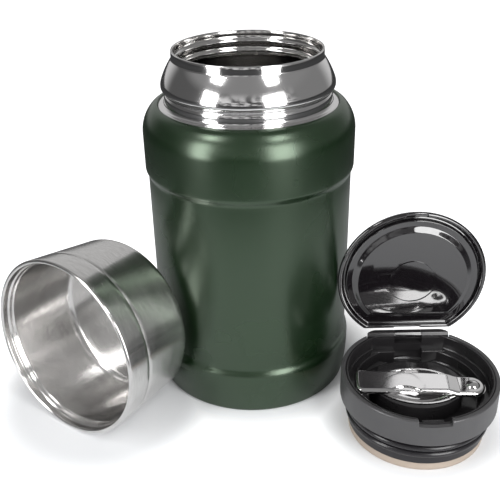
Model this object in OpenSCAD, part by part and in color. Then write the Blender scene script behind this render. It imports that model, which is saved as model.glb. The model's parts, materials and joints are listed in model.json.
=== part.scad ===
// Insulated food jar set: vacuum jar, serving cup, and a stopper with a flip lid
// and a folding spoon. The jar stands at the origin with its axis on Z; the cup
// lies on its side and the stopper stands open beside it. Millimetres.

/* [Jar] */
// Outside diameter over the shoulder band
body_d = 100.2; // [94:0.1:110]
// Height of the coated shell, foot to collar
shell_h = 144.6; // [120:0.1:170]
// Depth of the pressed step above and below the waist
waist_step = 1.25; // [0.8:0.05:1.8]
// How far the base band stands out past the shoulder band, on radius
base_extra = 0.3; // [0:0.05:0.6]
// Height of the widest line of the base band
base_z = 17; // [14:0.5:20]
// Height from the upper step to the top of the shell
band_h = 31.8; // [28:0.1:40]
// Large radius of the shoulder
shoulder_round = 16; // [13:0.5:18]
// Small radius where the shoulder turns in to the collar
knuckle_round = 6; // [5:0.5:7]
// Thickness of the outer shell
shell_wall = 0.8; // [0.6:0.05:1]
// Thickness of the neck and of the inner vessel
liner_wall = 0.5; // [0.4:0.05:0.6]
// Vacuum gap between the waist and the inner vessel
vacuum_gap = 1.95; // [1.6:0.05:3]
// Height of the inside floor above the table
floor_z = 9; // [8.5:0.5:14]

/* [Neck] */
// Inside diameter of the mouth
mouth_d = 67.8; // [64:0.1:70]
// Height of the neck above the shell
neck_h = 24.4; // [23:0.1:30]
// Height of the straight band under the lip
lip_band = 3.4; // [3:0.1:4]
// Diameter over the bulge of the neck
bulge_d = 80.8; // [79:0.1:82]
// Diameter of the collar
collar_d = 78.2; // [77.4:0.1:78.8]
// Outside diameter of the flange at the foot of the collar
flange_d = 84.8; // [82.5:0.1:85]
// How far each rolled thread ring stands into the mouth
thread_in = 0.7; // [0.5:0.05:0.9]
// Width of the ledge that the stopper's seal rests on
ledge_w = 2.5; // [1.5:0.1:3.5]

/* [Stopper] */
// Height of the stopper's rim above its seal's foot
rim_top = 31.3; // [30.6:0.1:33]
// Height of the underside of the rim
rim_bottom = 18.2; // [17.4:0.1:18.6]
// How far the rim reaches down over the neck's lip
lip_cover = 3.3; // [2.6:0.1:3.4]
// Gap between the neck's lip and the skirt around it
lip_gap = 0.3; // [0.2:0.05:0.6]
// Thickness of the skirt over the lip
skirt_wall = 1.3; // [1:0.05:1.6]
// Gap between the thread ridges and the mouth
thread_gap = 0.2; // [0.1:0.05:0.4]
// Height of the rounded thread ridges
ridge_h = 1.5; // [1:0.05:1.6]
// Distance between the thread ridges
ridge_pitch = 3.4; // [3.2:0.1:4]
// Thickness of the barrel
barrel_wall = 1.8; // [1.2:0.1:2]
// Thickness of the tray's wall
tray_wall = 1.2; // [0.8:0.1:1.4]
// Height of the tray's floor
tray_floor = 17.6; // [16.8:0.1:18]
// Height of the tray's ledge
tray_ledge = 24; // [23.9:0.1:24.4]
// Width of the thumb notch in the front of the rim
notch_w = 14.6; // [12:0.1:18]
// Depth of the thumb notch
notch_h = 2.6; // [2:0.1:3.2]
// Height of the silicone seal
seal_h = 4.1; // [3.6:0.1:4.6]

/* [Hinge and lid] */
// Distance of the hinge behind the stopper's centre
hinge_y = 31.6; // [31.2:0.1:32]
// Height of the hinge below the rim's top
hinge_drop = 0.9; // [0.5:0.1:1.2]
// Radius of the hinge barrels
barrel_r = 2.4; // [2.1:0.05:2.5]
// Diameter of the hinge pin
pin_d = 2; // [1.6:0.1:2.2]
// Running clearance of the lid on its pin, on radius
pin_play = 0.06; // [0.02:0.01:0.1]
// Width of the lid's own barrel
knuckle_w = 13; // [11:0.5:14]
// Width over both hinge ears
ears_w = 40.4; // [36:0.2:41]
// Diameter of the lid
lid_d = 71.6; // [70:0.1:72.6]
// Thickness of the lid
lid_h = 4.7; // [4.5:0.1:6]
// Thickness of the lid over the channel inside its rim
lid_top = 2.2; // [2.1:0.1:2.6]
// Angle that the lid stands open
lid_open = 89; // [60:1:92]

/* [Spoon] */
// Distance from the rivet to the end of the handle
handle_l = 54.1; // [50:0.1:55]
// Width of the handle at its free end
handle_w = 16.2; // [14:0.1:16.6]
// Width of the handle and neck at the rivet
tab_w = 13.4; // [12:0.1:13.6]
// Reach of the handle's tab beyond the rivet
tab_end = 5.8; // [5.2:0.1:6.6]
// Thickness of the spoon's sheet
spoon_sheet = 0.8; // [0.6:0.05:0.9]
// Height of the handle's turned-down edge
edge_h = 2.1; // [1.6:0.1:2.2]
// Length of the bowl
bowl_l = 40.6; // [36:0.1:42]
// Width of the bowl
bowl_w = 26.4; // [22:0.1:28]
// Depth of the bowl
bowl_depth = 8.6; // [7.4:0.1:9]
// Height of the cradle around the bowl, above the tray's floor
cradle_h = 7.4; // [6:0.1:7.6]
// Diameter of the rivet's domed head
rivet_d = 6.5; // [5.5:0.1:7.5]

/* [Cup] */
// Outside diameter of the cup's lip
cup_d = 88; // [87:0.1:90]
// Outside diameter of the cup at its closed end
cup_end_d = 82; // [81:0.1:84]
// Radius of the rounded closed end
cup_round = 6; // [4:0.5:8]
// Thickness of the cup's sheet
cup_wall = 0.6; // [0.5:0.05:0.8]
// Thickness of the rolled lip
cup_lip = 2; // [1.8:0.1:2.4]
// Air gap under the cup's floor
cup_gap = 3; // [2:0.1:4]
// Distance of the score line from the lip
score_z = 13.2; // [9:0.1:18]

/* [Hidden] */
$fn = 96;
eps = 0.01;
air = 0.3;          // gap between pieces that move past each other
fit = 0.1;          // gap between pieces pressed or welded together

// ---- jar ----
body_r = body_d / 2;
base_r = body_r + base_extra;
waist_r = body_r - waist_step;
base_bow = 90;      // radius of the gentle bow of the base band
foot_round = 1.2;
foot_land = 1.5;    // width of the ring that the jar stands on
base_flat = 3;      // straight height above the widest line of the base
step_round = 6;     // radius of both halves of the lower step
band_step_round = 4;
shoulder_turn = 42; // angle where the large shoulder radius ends
shoulder_least = 75;  // slope that the shoulder reaches before its opening
foot_lean = asin((base_z - foot_round) / (base_bow - foot_round));
foot_c = [base_r - base_bow + (base_bow - foot_round) * cos(foot_lean), foot_round];
flange_r = flange_d / 2;
shoulder_reach = shoulder_round * (1 - cos(shoulder_turn))
               + knuckle_round * (cos(shoulder_turn) - cos(shoulder_least));
shoulder_k = min(1, (body_r - flange_r) / shoulder_reach);   // fits both radii in the room for them
shoulder_r = shoulder_round * shoulder_k;
knuckle_r = knuckle_round * shoulder_k;
knuckle_x = body_r - shoulder_r + (shoulder_r - knuckle_r) * cos(shoulder_turn);
knuckle_end = flange_r < knuckle_x ? 90 : acos((flange_r - knuckle_x) / knuckle_r);
knuckle_rise = (shoulder_r - knuckle_r) * sin(shoulder_turn);
shoulder_z = shell_h - knuckle_rise - knuckle_r * sin(knuckle_end);

// ---- neck ----
mouth_r = mouth_d / 2;
lip_r = mouth_r + 2 * liner_wall;
lip_z = shell_h + neck_h;
bulge_r = bulge_d / 2;
collar_r = collar_d / 2;
bulge_turn = 20;    // slope of the neck just above the bulge
cone_turn = 35;     // slope of the neck just under the lip band
bulge_a = 7;        // radius of the top of the bulge
bulge_c = 1.6;      // radius of the hollow under the lip band
bulge_b = (bulge_r - lip_r - bulge_a * (1 - cos(bulge_turn)) - bulge_c * (1 - cos(cone_turn)))
        / (cos(bulge_turn) - cos(cone_turn));
bulge_rise = bulge_a * sin(bulge_turn) + bulge_b * (sin(cone_turn) - sin(bulge_turn))
           + bulge_c * sin(cone_turn);
bulge_z = lip_z - lip_band - bulge_rise;
under_bulge = 2.6;  // radius of the underside of the bulge
groove_z = bulge_z - 3.2;
edge_lean = 0.25;   // how far the shell's edge leans in under its rim
neck_r = flange_r - edge_lean;
neck_foot = shell_h - 0.2;
collar_fillet = min(1.6, neck_r - collar_r);   // below zero where the collar is wider than its foot

// ---- inner vessel ----
liner_r = waist_r - shell_wall - vacuum_gap - liner_wall;
liner_round = 12;   // radius of the corner of the floor
liner_turn = 9;     // radius of both halves of the inside shoulder
thread_z = [lip_z - 10, lip_z - 5.4];
thread_half = 1.3;
ledge_z = lip_z - (rim_bottom + lip_cover);
throat_r = mouth_r - ledge_w;
throat_h = 3.5;
liner_steps = liner_turn * 2 * sin(acos(1 - (liner_r - throat_r) / (2 * liner_turn)));
foil_t = 0.2;
foil_z = [26, 118];

// ---- bottom ----
plate_z = 3.2;      // underside of the structural bottom
plate_t = 0.8;
skirt_z = 7;        // top of the bottom's skirt
dimple_r = 5.2;
dimple_h = 2;
cap_t = 0.7;
getter_x = 18;

// ---- stopper ----
web_z = rim_bottom + lip_cover;
web_t = 1.2;
skirt_r = lip_r + lip_gap;
rim_r = skirt_r + skirt_wall;
crest_r = mouth_r - thread_gap;
root_r = crest_r - ridge_h;
bore_r = root_r - barrel_wall;
ridge_z = [9.9, 9.9 + ridge_pitch];
barrel_foot = 4.2;
rim_wall = 2.1;     // thickness of the rim above the web
seat_r = rim_r - rim_wall;
rim_round = 0.7;
tray_r = seat_r - fit;
tray_in = tray_r - tray_wall;
pan_r = bore_r - 2 * fit;
pan_in = pan_r - tray_wall;
pan_round = 3;
tray_top = rim_top - 0.3;
floor_t = 1.2;
rest_x = -25;       // inner face of the rest under the handle's end
shelf_w = 9.6;      // shelf behind the thumb notch
shelf_drop = 3.8;
cradle_at = [-1, -2.3];
cradle_l = 44;
cradle_w = 36;
cradle_r = (pow(cradle_l, 2) + pow(cradle_w, 2)) / (4 * cradle_w);
cradle_gap = 0.5;   // air around the bowl in its cradle
dip_x = 1.5;        // finger dip in the rear of the cradle
dip_r = 9;
dip_h = 1.6;
base_t = 2;         // thickness of the plug that closes the barrel
seal_r = root_r - 0.2;
seal_in = 27;
seal_wall = 1.1;
seal_t = 2.5;       // thickness of the seal under the plug
seal_lip_z = 1.6;   // widest line of the seal
seal_lean = 0.3;    // how much narrower the seal is at its top
plug_drop = 1.4;    // how far the plug reaches down inside the seal
foam_gap = 0.2;
foam_h = tray_floor - floor_t - barrel_foot - base_t - 2 * foam_gap;

// ---- hinge ----
hinge_z = rim_top - hinge_drop;
pin_r = pin_d / 2;
pin_l = ears_w - 4;
ear_in = knuckle_w / 2 + air;
ear_front = 28;     // front face of each ear above the ledge
ear_foot = 25.4;    // front face of each ear below the ledge
ear_foot_w = 11.6;
house_back = hinge_y + barrel_r + 0.4;
house_z = tray_ledge;
web_top = hinge_z - barrel_r - 0.5;
house_w = ears_w + 1;
ear_foot_gap = 0.3;

// ---- lid, drawn closed in the stopper's frame ----
lid_r = lid_d / 2;
lid_foot = rim_top + air;
lid_chord = hinge_y - barrel_r - 0.5;
lid_wall = 2.4;
lid_round = 4.2;
channel_w = 1.7;    // channel between the lid's rim and the flat ring
ring_r = lid_r - lid_wall - channel_w;
ring_w = 3;
ring_chord = 21.4;
ring_back = 1.2;    // width of the flat ring along its straight side
plateau_h = 1.5;    // how far the plateau stands down from the ring
slope_w = 2.4;
slope_back = 1.8;
boss_r = 11.9;
boss_w = 1.4;
boss_h = 0.6;
latch_w = 10.2;
latch_h = 2.2;
latch_t = 1.6;

// ---- spoon, drawn with its rivet at the origin and the bowl's rim at z = 0 ----
rivet_at = [23.6, -6.3];
spoon_turn = -4.3;
spoon_z = tray_floor + bowl_depth + air;
bowl_side = (pow(bowl_w / 2, 2) + pow(bowl_depth, 2)) / (2 * bowl_depth);
bowl_keel = (pow(bowl_l / 2, 2) + pow(bowl_depth, 2)) / (2 * bowl_depth);
bowl_up = bowl_side - bowl_depth;   // height of the bowl's turning axis above its rim
bowl_end = acos((bowl_up * 0.8 - bowl_side + bowl_keel) / bowl_keel);
bowl_x = -(bowl_l / 2 + 4.5);
neck_x = -9;        // where the flat neck starts inside the bowl's tip
washer_t = 0.3;
play = 0.1;         // axial play of the handle on its rivet
tab_z = washer_t + play;
joggle_h = 1.4;     // height of the double bend in the handle
joggle_x = [-12.1, -6.2];
panel_z = tab_z + joggle_h;
handle_top = panel_z + spoon_sheet;
rest_z = spoon_z + handle_top - edge_h - air;
shank_r = 1.5;
dome_h = 1.5;
dome_r = (pow(rivet_d / 2, 2) + pow(dome_h, 2)) / (2 * dome_h);
head_z = tab_z + spoon_sheet + play;
tail_r = 2.4;
tail_h = 0.8;
handle_corner = 3.4;
scoop_r = 9.9;
scoop_x = -31.5;
scoop_in = 4.4;     // reach of the thumb scoop in from the edge
scoop_drop = 0.7;

// ---- cup, drawn mouth down with its lip at z = 0 ----
cup_r = cup_d / 2;
cup_end_r = cup_end_d / 2;
lip_mid = cup_r - cup_lip / 2;
cup_in = cup_r - cup_lip;
cup_clear = 0.8;    // air over the closed flip lid
cup_depth = lid_foot + lid_h - web_z + lip_z - shell_h + cup_clear;
cup_h = cup_depth + 2 * cup_wall + cup_gap;
cup_side_gap = 2.2; // air gap between the cup's walls at its closed end
cup_floor_round = 4;
cup_floor_r = cup_end_r - 2 * cup_wall - cup_side_gap + 0.6;

// ---- how the set is laid out ----
lid_y = 28;         // distance of the open lid in front of the jar's axis
lid_side = 1.25;    // gap beside the open lid
lid_plane = (lid_foot - hinge_z) * cos(lid_open - 90) + hinge_y * sin(lid_open - 90);
stopper_at = [lid_r + sqrt(pow(waist_r + lid_side, 2) - pow(lid_y, 2)), -lid_y - hinge_y - lid_plane];
cup_turn = 35.9;    // heading of the cup's axis, from +Y towards +X
cup_shift = -40.1;
cup_off = 2.4;      // gap between the jar and the cup's closed end
lip_c = [lip_mid, cup_lip / 2];
end_c = [cup_end_r - cup_round, cup_h - cup_round];
cup_tilt = atan2(lip_c[0] - end_c[0], end_c[1] - lip_c[1])
         + asin((cup_lip / 2 - cup_round) / norm(end_c - lip_c));
cup_up = cup_lip / 2 + lip_c[1] * sin(cup_tilt) + lip_c[0] * cos(cup_tilt);
cup_back = base_r + cup_off + cup_h * cos(cup_tilt);
cup_at = [cup_shift * cos(cup_turn) - cup_back * sin(cup_turn),
          -cup_shift * sin(cup_turn) - cup_back * cos(cup_turn), cup_up];

// ---- outlines: lists of [radius, height] points ----
function arc(c, r, a0, a1, n = 6) =
    [for (i = [0:n]) let (a = a0 + (a1 - a0) * i / n) [c[0] + r * cos(a), c[1] + r * sin(a)]];
function tidy(p) = [for (i = [0:len(p) - 1]) if (i == 0 || norm(p[i] - p[i - 1]) > eps) p[i]];
function back(p) = [for (i = [len(p) - 1:-1:0]) p[i]];
function side(a, b) = let (d = (b - a) / norm(b - a)) [-d[1], d[0]];
function beside(p, w) = [for (i = [0:len(p) - 1])
    p[i] + w * side(p[max(i - 1, 0)], p[min(i + 1, len(p) - 1)])];
// two equal tangent arcs that step the wall in or out by d on the way up
function step_in(r, z, d, k, n = 5) = let (t = acos(1 - d / (2 * k)))
    concat(arc([r - k, z], k, 0, t, n), arc([r - d + k, z + 2 * k * sin(t)], k, 180 + t, 180, n));
function step_out(r, z, d, k, n = 5) = let (t = acos(1 - d / (2 * k)))
    concat(arc([r + k, z], k, 180, 180 - t, n), arc([r + d - k, z + 2 * k * sin(t)], k, -t, 0, n));
// a rounded ring that stands out of the wall, or into it
function ridge(r, z, h, half, n = 8) = let (k = (half * half + h * h) / (2 * h), t = acos((k - h) / k))
    arc([r + h - k, z], k, -t, t, n);
function ring_in(r, z, h, half, n = 8) = let (k = (half * half + h * h) / (2 * h), t = acos((k - h) / k))
    arc([r - h + k, z], k, 180 + t, 180 - t, n);
// radius of the base band's surface at height z, set in by w
function bow_r(z, w) = base_r - base_bow + sqrt(pow(base_bow - w, 2) - pow(z - base_z, 2));

shell_path = tidy(concat(
    [[foot_c[0] - foot_land, 0]],
    arc(foot_c, foot_round, -90, -foot_lean, 4),
    arc([base_r - base_bow, base_z], base_bow, -foot_lean, 0, 5),
    step_in(base_r, base_z + base_flat, base_r - waist_r, step_round),
    step_out(waist_r, shell_h - band_h - band_step_round * 0.47, waist_step, band_step_round),
    arc([body_r - shoulder_r, shoulder_z], shoulder_r, 0, shoulder_turn, 9),
    arc([knuckle_x, shoulder_z + knuckle_rise], knuckle_r, shoulder_turn, knuckle_end, 6),
    [[flange_r, shell_h]]));

neck_path = tidy(concat(
    [[neck_r, neck_foot]],
    collar_fillet > 0
        ? arc([collar_r + collar_fillet, neck_foot + collar_fillet], collar_fillet, 270, 180, 4)
        : [[neck_r, shell_h + fit], [collar_r, shell_h + fit - collar_fillet]],
    [[collar_r, groove_z - 0.6], [collar_r - 0.5, groove_z], [collar_r - 0.35, groove_z + 0.4]],
    arc([bulge_r - under_bulge, bulge_z], under_bulge, -55, 0, 5),
    arc([bulge_r - bulge_a, bulge_z], bulge_a, 0, bulge_turn, 3),
    arc([bulge_r - bulge_a + (bulge_a - bulge_b) * cos(bulge_turn),
         bulge_z + (bulge_a - bulge_b) * sin(bulge_turn)], bulge_b, bulge_turn, cone_turn, 6),
    arc([lip_r + bulge_c, lip_z - lip_band], bulge_c, 180 + cone_turn, 180, 4),
    [[lip_r, lip_z]]));

liner_path = tidy(concat(
    [[0, floor_z]],
    arc([liner_r - liner_round, floor_z + liner_round], liner_round, -90, 0, 8),
    step_in(liner_r, ledge_z - 1 - throat_h - liner_steps, liner_r - throat_r, liner_turn, 8),
    [[throat_r, ledge_z - 0.7], [throat_r + 0.5, ledge_z - 0.2], [mouth_r - 0.5, ledge_z],
     [mouth_r, ledge_z + 0.5]],
    ring_in(mouth_r, thread_z[0], thread_in, thread_half),
    ring_in(mouth_r, thread_z[1], thread_in, thread_half),
    [[mouth_r, lip_z]]));

bottom_path = concat(
    [[0, plate_z + dimple_h], [dimple_r - 1.2, plate_z + dimple_h], [dimple_r, plate_z],
     [bow_r(plate_z, shell_wall + fit) - 1, plate_z]],
    [for (i = [0:4]) let (z = plate_z + 1 + (skirt_z - plate_z - 1) * i / 4)
        [bow_r(z, shell_wall + fit), z]]);

cup_path = tidy(concat(
    arc(lip_c, cup_lip / 2, -90, 0, 5),
    [[cup_wall_r(score_z - 0.25), score_z - 0.25], [cup_wall_r(score_z) - 0.2, score_z],
     [cup_wall_r(score_z + 0.25), score_z + 0.25]],
    arc(end_c, cup_round, 0, 90, 8),
    [[0, cup_h]]));

cup_liner_path = tidy(concat(
    arc(lip_c, cup_lip / 2, -90, -180, 5),
    [[cup_in, 3.3], [cup_in - 0.7, 3.8], [cup_in - 0.8, 5.4], [cup_in - 1.4, 6]],
    arc([cup_floor_r - cup_floor_round, cup_depth - cup_floor_round], cup_floor_round, 0, 90, 6),
    [[0, cup_depth]]));

// radius of the cup's outside at height z above its lip
function cup_wall_r(z) = cup_r + (cup_end_r - cup_r) * (z - cup_lip / 2) / (cup_h - cup_round - cup_lip / 2);

body_path = concat(
    [[bore_r, barrel_foot], [root_r - 0.3, barrel_foot], [root_r, barrel_foot + 0.3]],
    ridge(root_r, ridge_z[0], ridge_h, ridge_h),
    ridge(root_r, ridge_z[1], ridge_h, ridge_h),
    [[root_r, web_z], [skirt_r, web_z], [skirt_r, rim_bottom], [rim_r - 0.3, rim_bottom],
     [rim_r, rim_bottom + 0.3]],
    arc([rim_r - rim_round, rim_top - rim_round], rim_round, 0, 90, 4),
    [[seat_r + 0.3, rim_top], [seat_r, rim_top - 0.3], [seat_r, web_z + web_t], [bore_r, web_z + web_t]]);

tray_path = concat(
    [[0, tray_floor - floor_t]],
    arc([pan_r - pan_round, tray_floor - floor_t + pan_round], pan_round, -90, 0, 5),
    [[pan_r, tray_ledge - floor_t], [tray_r, tray_ledge - floor_t], [tray_r, tray_top - 0.3],
     [tray_r - 0.3, tray_top], [tray_in + 0.3, tray_top], [tray_in, tray_top - 0.3],
     [tray_in, tray_ledge], [pan_in + 0.4, tray_ledge], [pan_in, tray_ledge - 0.4]],
    back(arc([pan_in - pan_round + 1, tray_floor + pan_round - 1], pan_round - 1, -90, 0, 5)),
    [[0, tray_floor]]);

seal_path = [[seal_in, 0], [seal_r - 0.7, 0], [seal_r, seal_lip_z], [seal_r - seal_lean, seal_h],
             [seal_r - seal_wall, seal_h], [seal_r - seal_wall, seal_t], [seal_in, seal_t]];

base_path = [[0, seal_t - plug_drop], [seal_in - fit, seal_t - plug_drop], [seal_in - fit, seal_t + fit],
             [seal_r - seal_wall - fit, seal_t + fit], [seal_r - seal_wall - fit, barrel_foot - fit],
             [bore_r - fit, barrel_foot - fit], [bore_r - fit, barrel_foot + base_t],
             [0, barrel_foot + base_t]];

// ---- building blocks ----
module turned(p) rotate_extrude() polygon(p);
module sheet(p, w) turned(concat(p, back(beside(p, w))));
module block(lo, hi) translate(lo) cube(hi - lo);
module rod(r, l) rotate([0, 90, 0]) cylinder(r = r, h = l, center = true);
module d_shape(r, chord) intersection() {
    circle(r = r);
    translate([-r, -r]) square([2 * r, r + chord]);
}
module d_block(r, chord, z0, z1) translate([0, 0, z0]) linear_extrude(z1 - z0) d_shape(r, chord);

module on_stopper() translate([stopper_at[0], stopper_at[1], 0]) children();
module on_hinge() translate([0, hinge_y, hinge_z]) children();
module lid_opened() on_hinge() rotate([-lid_open, 0, 0]) translate([0, -hinge_y, -hinge_z]) children();
module on_rivet() translate([rivet_at[0], rivet_at[1], spoon_z]) rotate([0, 0, spoon_turn]) children();
module as_cup() translate(cup_at) rotate([0, 0, -cup_turn]) rotate([-90 - cup_tilt, 0, 0]) children();

// ---- jar ----
module outer_shell() color([0.17, 0.25, 0.19]) sheet(shell_path, shell_wall);

module neck_ring() color([0.82, 0.82, 0.83]) sheet(neck_path, liner_wall);

module inner_liner() color([0.78, 0.78, 0.79]) sheet(liner_path, -liner_wall);

module copper_foil() color([0.72, 0.43, 0.28]) difference() {
    translate([0, 0, foil_z[0]]) cylinder(r = liner_r + liner_wall + foil_t, h = foil_z[1] - foil_z[0]);
    translate([0, 0, foil_z[0] - 1]) cylinder(r = liner_r + liner_wall, h = foil_z[1] - foil_z[0] + 2);
}

module outer_bottom() color([0.7, 0.7, 0.71]) sheet(bottom_path, plate_t);

module getter() color([0.5, 0.5, 0.52]) translate([getter_x, 0, plate_z + plate_t])
    cylinder(r = 5, h = 2.2);

module vacuum_plug() color([0.55, 0.5, 0.42]) translate([0, 0, plate_z + 0.4])
    cylinder(r = dimple_r - 2.2, h = dimple_h - 0.4);

module base_cap() color([0.75, 0.75, 0.76]) translate([0, 0, shell_wall])
    cylinder(r = foot_c[0] - fit, h = cap_t);

// ---- stopper ----
module notch_cut() translate([0, -rim_r, rim_top])
    cube([notch_w, 4 * (rim_r - tray_in), 2 * notch_h], center = true);

module stopper_body() color([0.2, 0.2, 0.21]) on_stopper() difference() {
    turned(body_path);
    notch_cut();
    block([-house_w / 2, ear_front - fit, house_z - floor_t - fit], [house_w / 2, rim_r + 1, rim_top + 1]);
}

// one hinge ear: a block up from the pan's floor and the barrel on top of it
module hinge_ear() intersection() {
    union() {
        block([ear_in, ear_foot, tray_floor - eps], [ear_in + ear_foot_w, pan_in + 0.6, tray_ledge]);
        block([ear_in, ear_front, tray_ledge - floor_t], [ears_w / 2, house_back, hinge_z]);
        translate([(ear_in + ears_w / 2) / 2, 0, 0]) on_hinge() rod(barrel_r, ears_w / 2 - ear_in);
    }
    translate([0, 0, tray_floor - floor_t]) cylinder(r = rim_r - fit, h = rim_top);
    union() {
        cylinder(r = pan_in + 0.8, h = tray_ledge + eps);
        translate([0, 0, tray_ledge - floor_t]) cylinder(r = rim_r, h = rim_top);
    }
}

// raised bed that the spoon's bowl lies in, with a finger dip behind
module bowl_cradle() difference() {
    intersection() {
        translate([cradle_at[0], cradle_at[1], tray_floor - eps])
            linear_extrude(cradle_h + eps) intersection() {
                translate([0, cradle_r - cradle_w / 2]) circle(r = cradle_r);
                translate([0, cradle_w / 2 - cradle_r]) circle(r = cradle_r);
            }
        cylinder(r = pan_in + 0.5, h = rim_top);
    }
    translate([dip_x, 0, tray_floor + cradle_h + dip_r - dip_h]) rotate([-90, 0, 0])
        cylinder(r = dip_r, h = pan_r);
}

module spoon_tray() color([0.05, 0.05, 0.055]) on_stopper() difference() {
    union() {
        turned(tray_path);
        hinge_ear();
        mirror([1, 0, 0]) hinge_ear();
        intersection() {     // low web that joins the ears behind the lid's barrel
            block([-ear_in - eps, ear_front, tray_ledge - floor_t], [ear_in + eps, house_back, web_top]);
            cylinder(r = rim_r - fit, h = rim_top);
        }
        intersection() {     // rest under the free end of the spoon's handle
            block([-tray_r, -11, tray_ledge - eps], [rest_x, 7, rest_z]);
            cylinder(r = tray_in + eps, h = rim_top);
        }
        bowl_cradle();
        intersection() {     // shelf behind the thumb notch
            block([-shelf_w / 2, -tray_r, tray_ledge - eps],
                  [shelf_w / 2, -tray_in + 3.4, rim_top - shelf_drop]);
            cylinder(r = tray_in + eps, h = rim_top);
        }
    }
    notch_cut();
    on_rivet() bowl_form(-cradle_gap);
    block([-ear_in, ear_front - 1, web_top], [ear_in, rim_r + 1, rim_top + barrel_r + 1]);
    on_hinge() rod(pin_r + 0.02, pin_l + 0.2);
}

module stopper_foam() color([0.93, 0.93, 0.9]) on_stopper()
    translate([0, 0, barrel_foot + base_t + foam_gap])
        cylinder(r = pan_r - pan_round - foam_gap, h = foam_h);

module stopper_base() color([0.1, 0.1, 0.105]) on_stopper() turned(base_path);

module seal_ring() color([0.72, 0.6, 0.49]) on_stopper() turned(seal_path);

module hinge_pin() color([0.75, 0.75, 0.76]) on_stopper() on_hinge() rod(pin_r, pin_l);

// plateau that stands down into the tray, drawn with sloped sides
module plateau() intersection() {
    translate([0, 0, lid_foot - plateau_h])
        cylinder(r1 = ring_r - ring_w - slope_w, r2 = ring_r - ring_w, h = plateau_h + eps);
    rotate([90, 0, 90]) linear_extrude(2 * lid_r, center = true)
        polygon([[-lid_r, lid_foot - plateau_h], [ring_chord - ring_back - slope_back, lid_foot - plateau_h],
                 [ring_chord - ring_back, lid_foot], [ring_chord - ring_back, lid_foot + 1],
                 [-lid_r, lid_foot + 1]]);
}

module flip_lid() color([0.07, 0.07, 0.075]) on_stopper() lid_opened() difference() {
    union() {
        intersection() {
            turned(concat([[0, lid_foot], [lid_r - 0.4, lid_foot], [lid_r, lid_foot + 0.4]],
                          arc([lid_r - lid_round, lid_foot + lid_h - lid_round], lid_round, 0, 90, 5),
                          [[0, lid_foot + lid_h]]));
            d_block(lid_r + 1, lid_chord, lid_foot - 1, lid_foot + lid_h + 1);
        }
        plateau();
        // arm and barrel of the hinge
        block([-knuckle_w / 2, lid_chord - 1.5, hinge_z + 0.9],
              [knuckle_w / 2, hinge_y + 0.4, hinge_z + barrel_r]);
        on_hinge() rod(barrel_r, knuckle_w);
        // latch that drops into the thumb notch
        translate([0, 0, lid_foot - latch_h]) linear_extrude(latch_h + 1) intersection() {
            difference() {
                circle(r = lid_r - 0.5);
                circle(r = lid_r - 0.5 - latch_t);
            }
            translate([-latch_w / 2, -lid_r]) square([latch_w, lid_wall + 2]);
        }
        // round boss on the plateau
        translate([0, 0, lid_foot - plateau_h - boss_h]) difference() {
            cylinder(r = boss_r, h = boss_h + eps);
            translate([0, 0, -1]) cylinder(r = boss_r - boss_w, h = boss_h + 3);
        }
    }
    // channel between the rim and the flat ring
    difference() {
        d_block(lid_r - lid_wall, lid_chord - 1.8, lid_foot - eps, lid_foot + lid_h - lid_top);
        d_block(ring_r, ring_chord, lid_foot - 1, lid_foot + lid_h);
    }
    on_hinge() rod(pin_r + pin_play, knuckle_w + 2);
}

// ---- spoon ----
// plan of the handle, set in by w
function tab_plan(w) = [for (a = [-90:15:90]) [(tab_end - w) * cos(a), (tab_w / 2 - w) * sin(a)]];
function handle_plan(w) = concat(
    tab_plan(w),
    arc([-handle_l + handle_corner, handle_w / 2 - handle_corner], handle_corner - w, 90, 180, 6),
    arc([-handle_l + handle_corner, -handle_w / 2 + handle_corner], handle_corner - w, 180, 270, 6));

module handle_slab(w) translate([0, 0, -1]) linear_extrude(handle_top + 2) polygon(handle_plan(w));

// what lies between two heights along the handle, with the double bend near the rivet
module bent_layer(below, above) rotate([90, 0, 0]) linear_extrude(handle_w + 4, center = true)
    polygon([[-handle_l - 1, panel_z + below], [joggle_x[0], panel_z + below], [joggle_x[1], tab_z + below],
             [tab_w, tab_z + below], [tab_w, tab_z + above], [joggle_x[1], tab_z + above],
             [joggle_x[0], panel_z + above], [-handle_l - 1, panel_z + above]]);

module scoop(r, z0, z1) translate([scoop_x, -handle_w / 2 + scoop_in - scoop_r, z0])
    cylinder(r = r, h = z1 - z0);

module spoon_handle() color([0.86, 0.86, 0.87]) on_stopper() on_rivet() difference() {
    union() {
        difference() {
            intersection() {
                handle_slab(0);
                bent_layer(0, spoon_sheet);
            }
            scoop(scoop_r, panel_z - 1, handle_top + 1);
        }
        // turned-down edge
        intersection() {
            difference() {
                handle_slab(0);
                handle_slab(spoon_sheet);
            }
            block([-handle_l - 1, -handle_w, handle_top - edge_h], [joggle_x[0] + 0.4, handle_w, handle_top]);
        }
        // floor and wall of the thumb scoop
        intersection() {
            handle_slab(0);
            difference() {
                scoop(scoop_r + spoon_sheet, handle_top - scoop_drop - spoon_sheet, handle_top);
                scoop(scoop_r, handle_top - scoop_drop, handle_top + 1);
            }
        }
    }
    translate([0, 0, -1]) cylinder(r = shank_r + pin_play, h = handle_top + 2);
}

// the bowl's outside set in by w: an arc turned about an axis along the spoon
module bowl_form(w) translate([bowl_x, 0, bowl_up]) rotate([0, 90, 0])
    turned(concat([[0, -(bowl_keel - w) * sin(bowl_end)]],
                  arc([bowl_side - bowl_keel, 0], bowl_keel - w, -bowl_end, bowl_end, 24),
                  [[0, (bowl_keel - w) * sin(bowl_end)]]));

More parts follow.
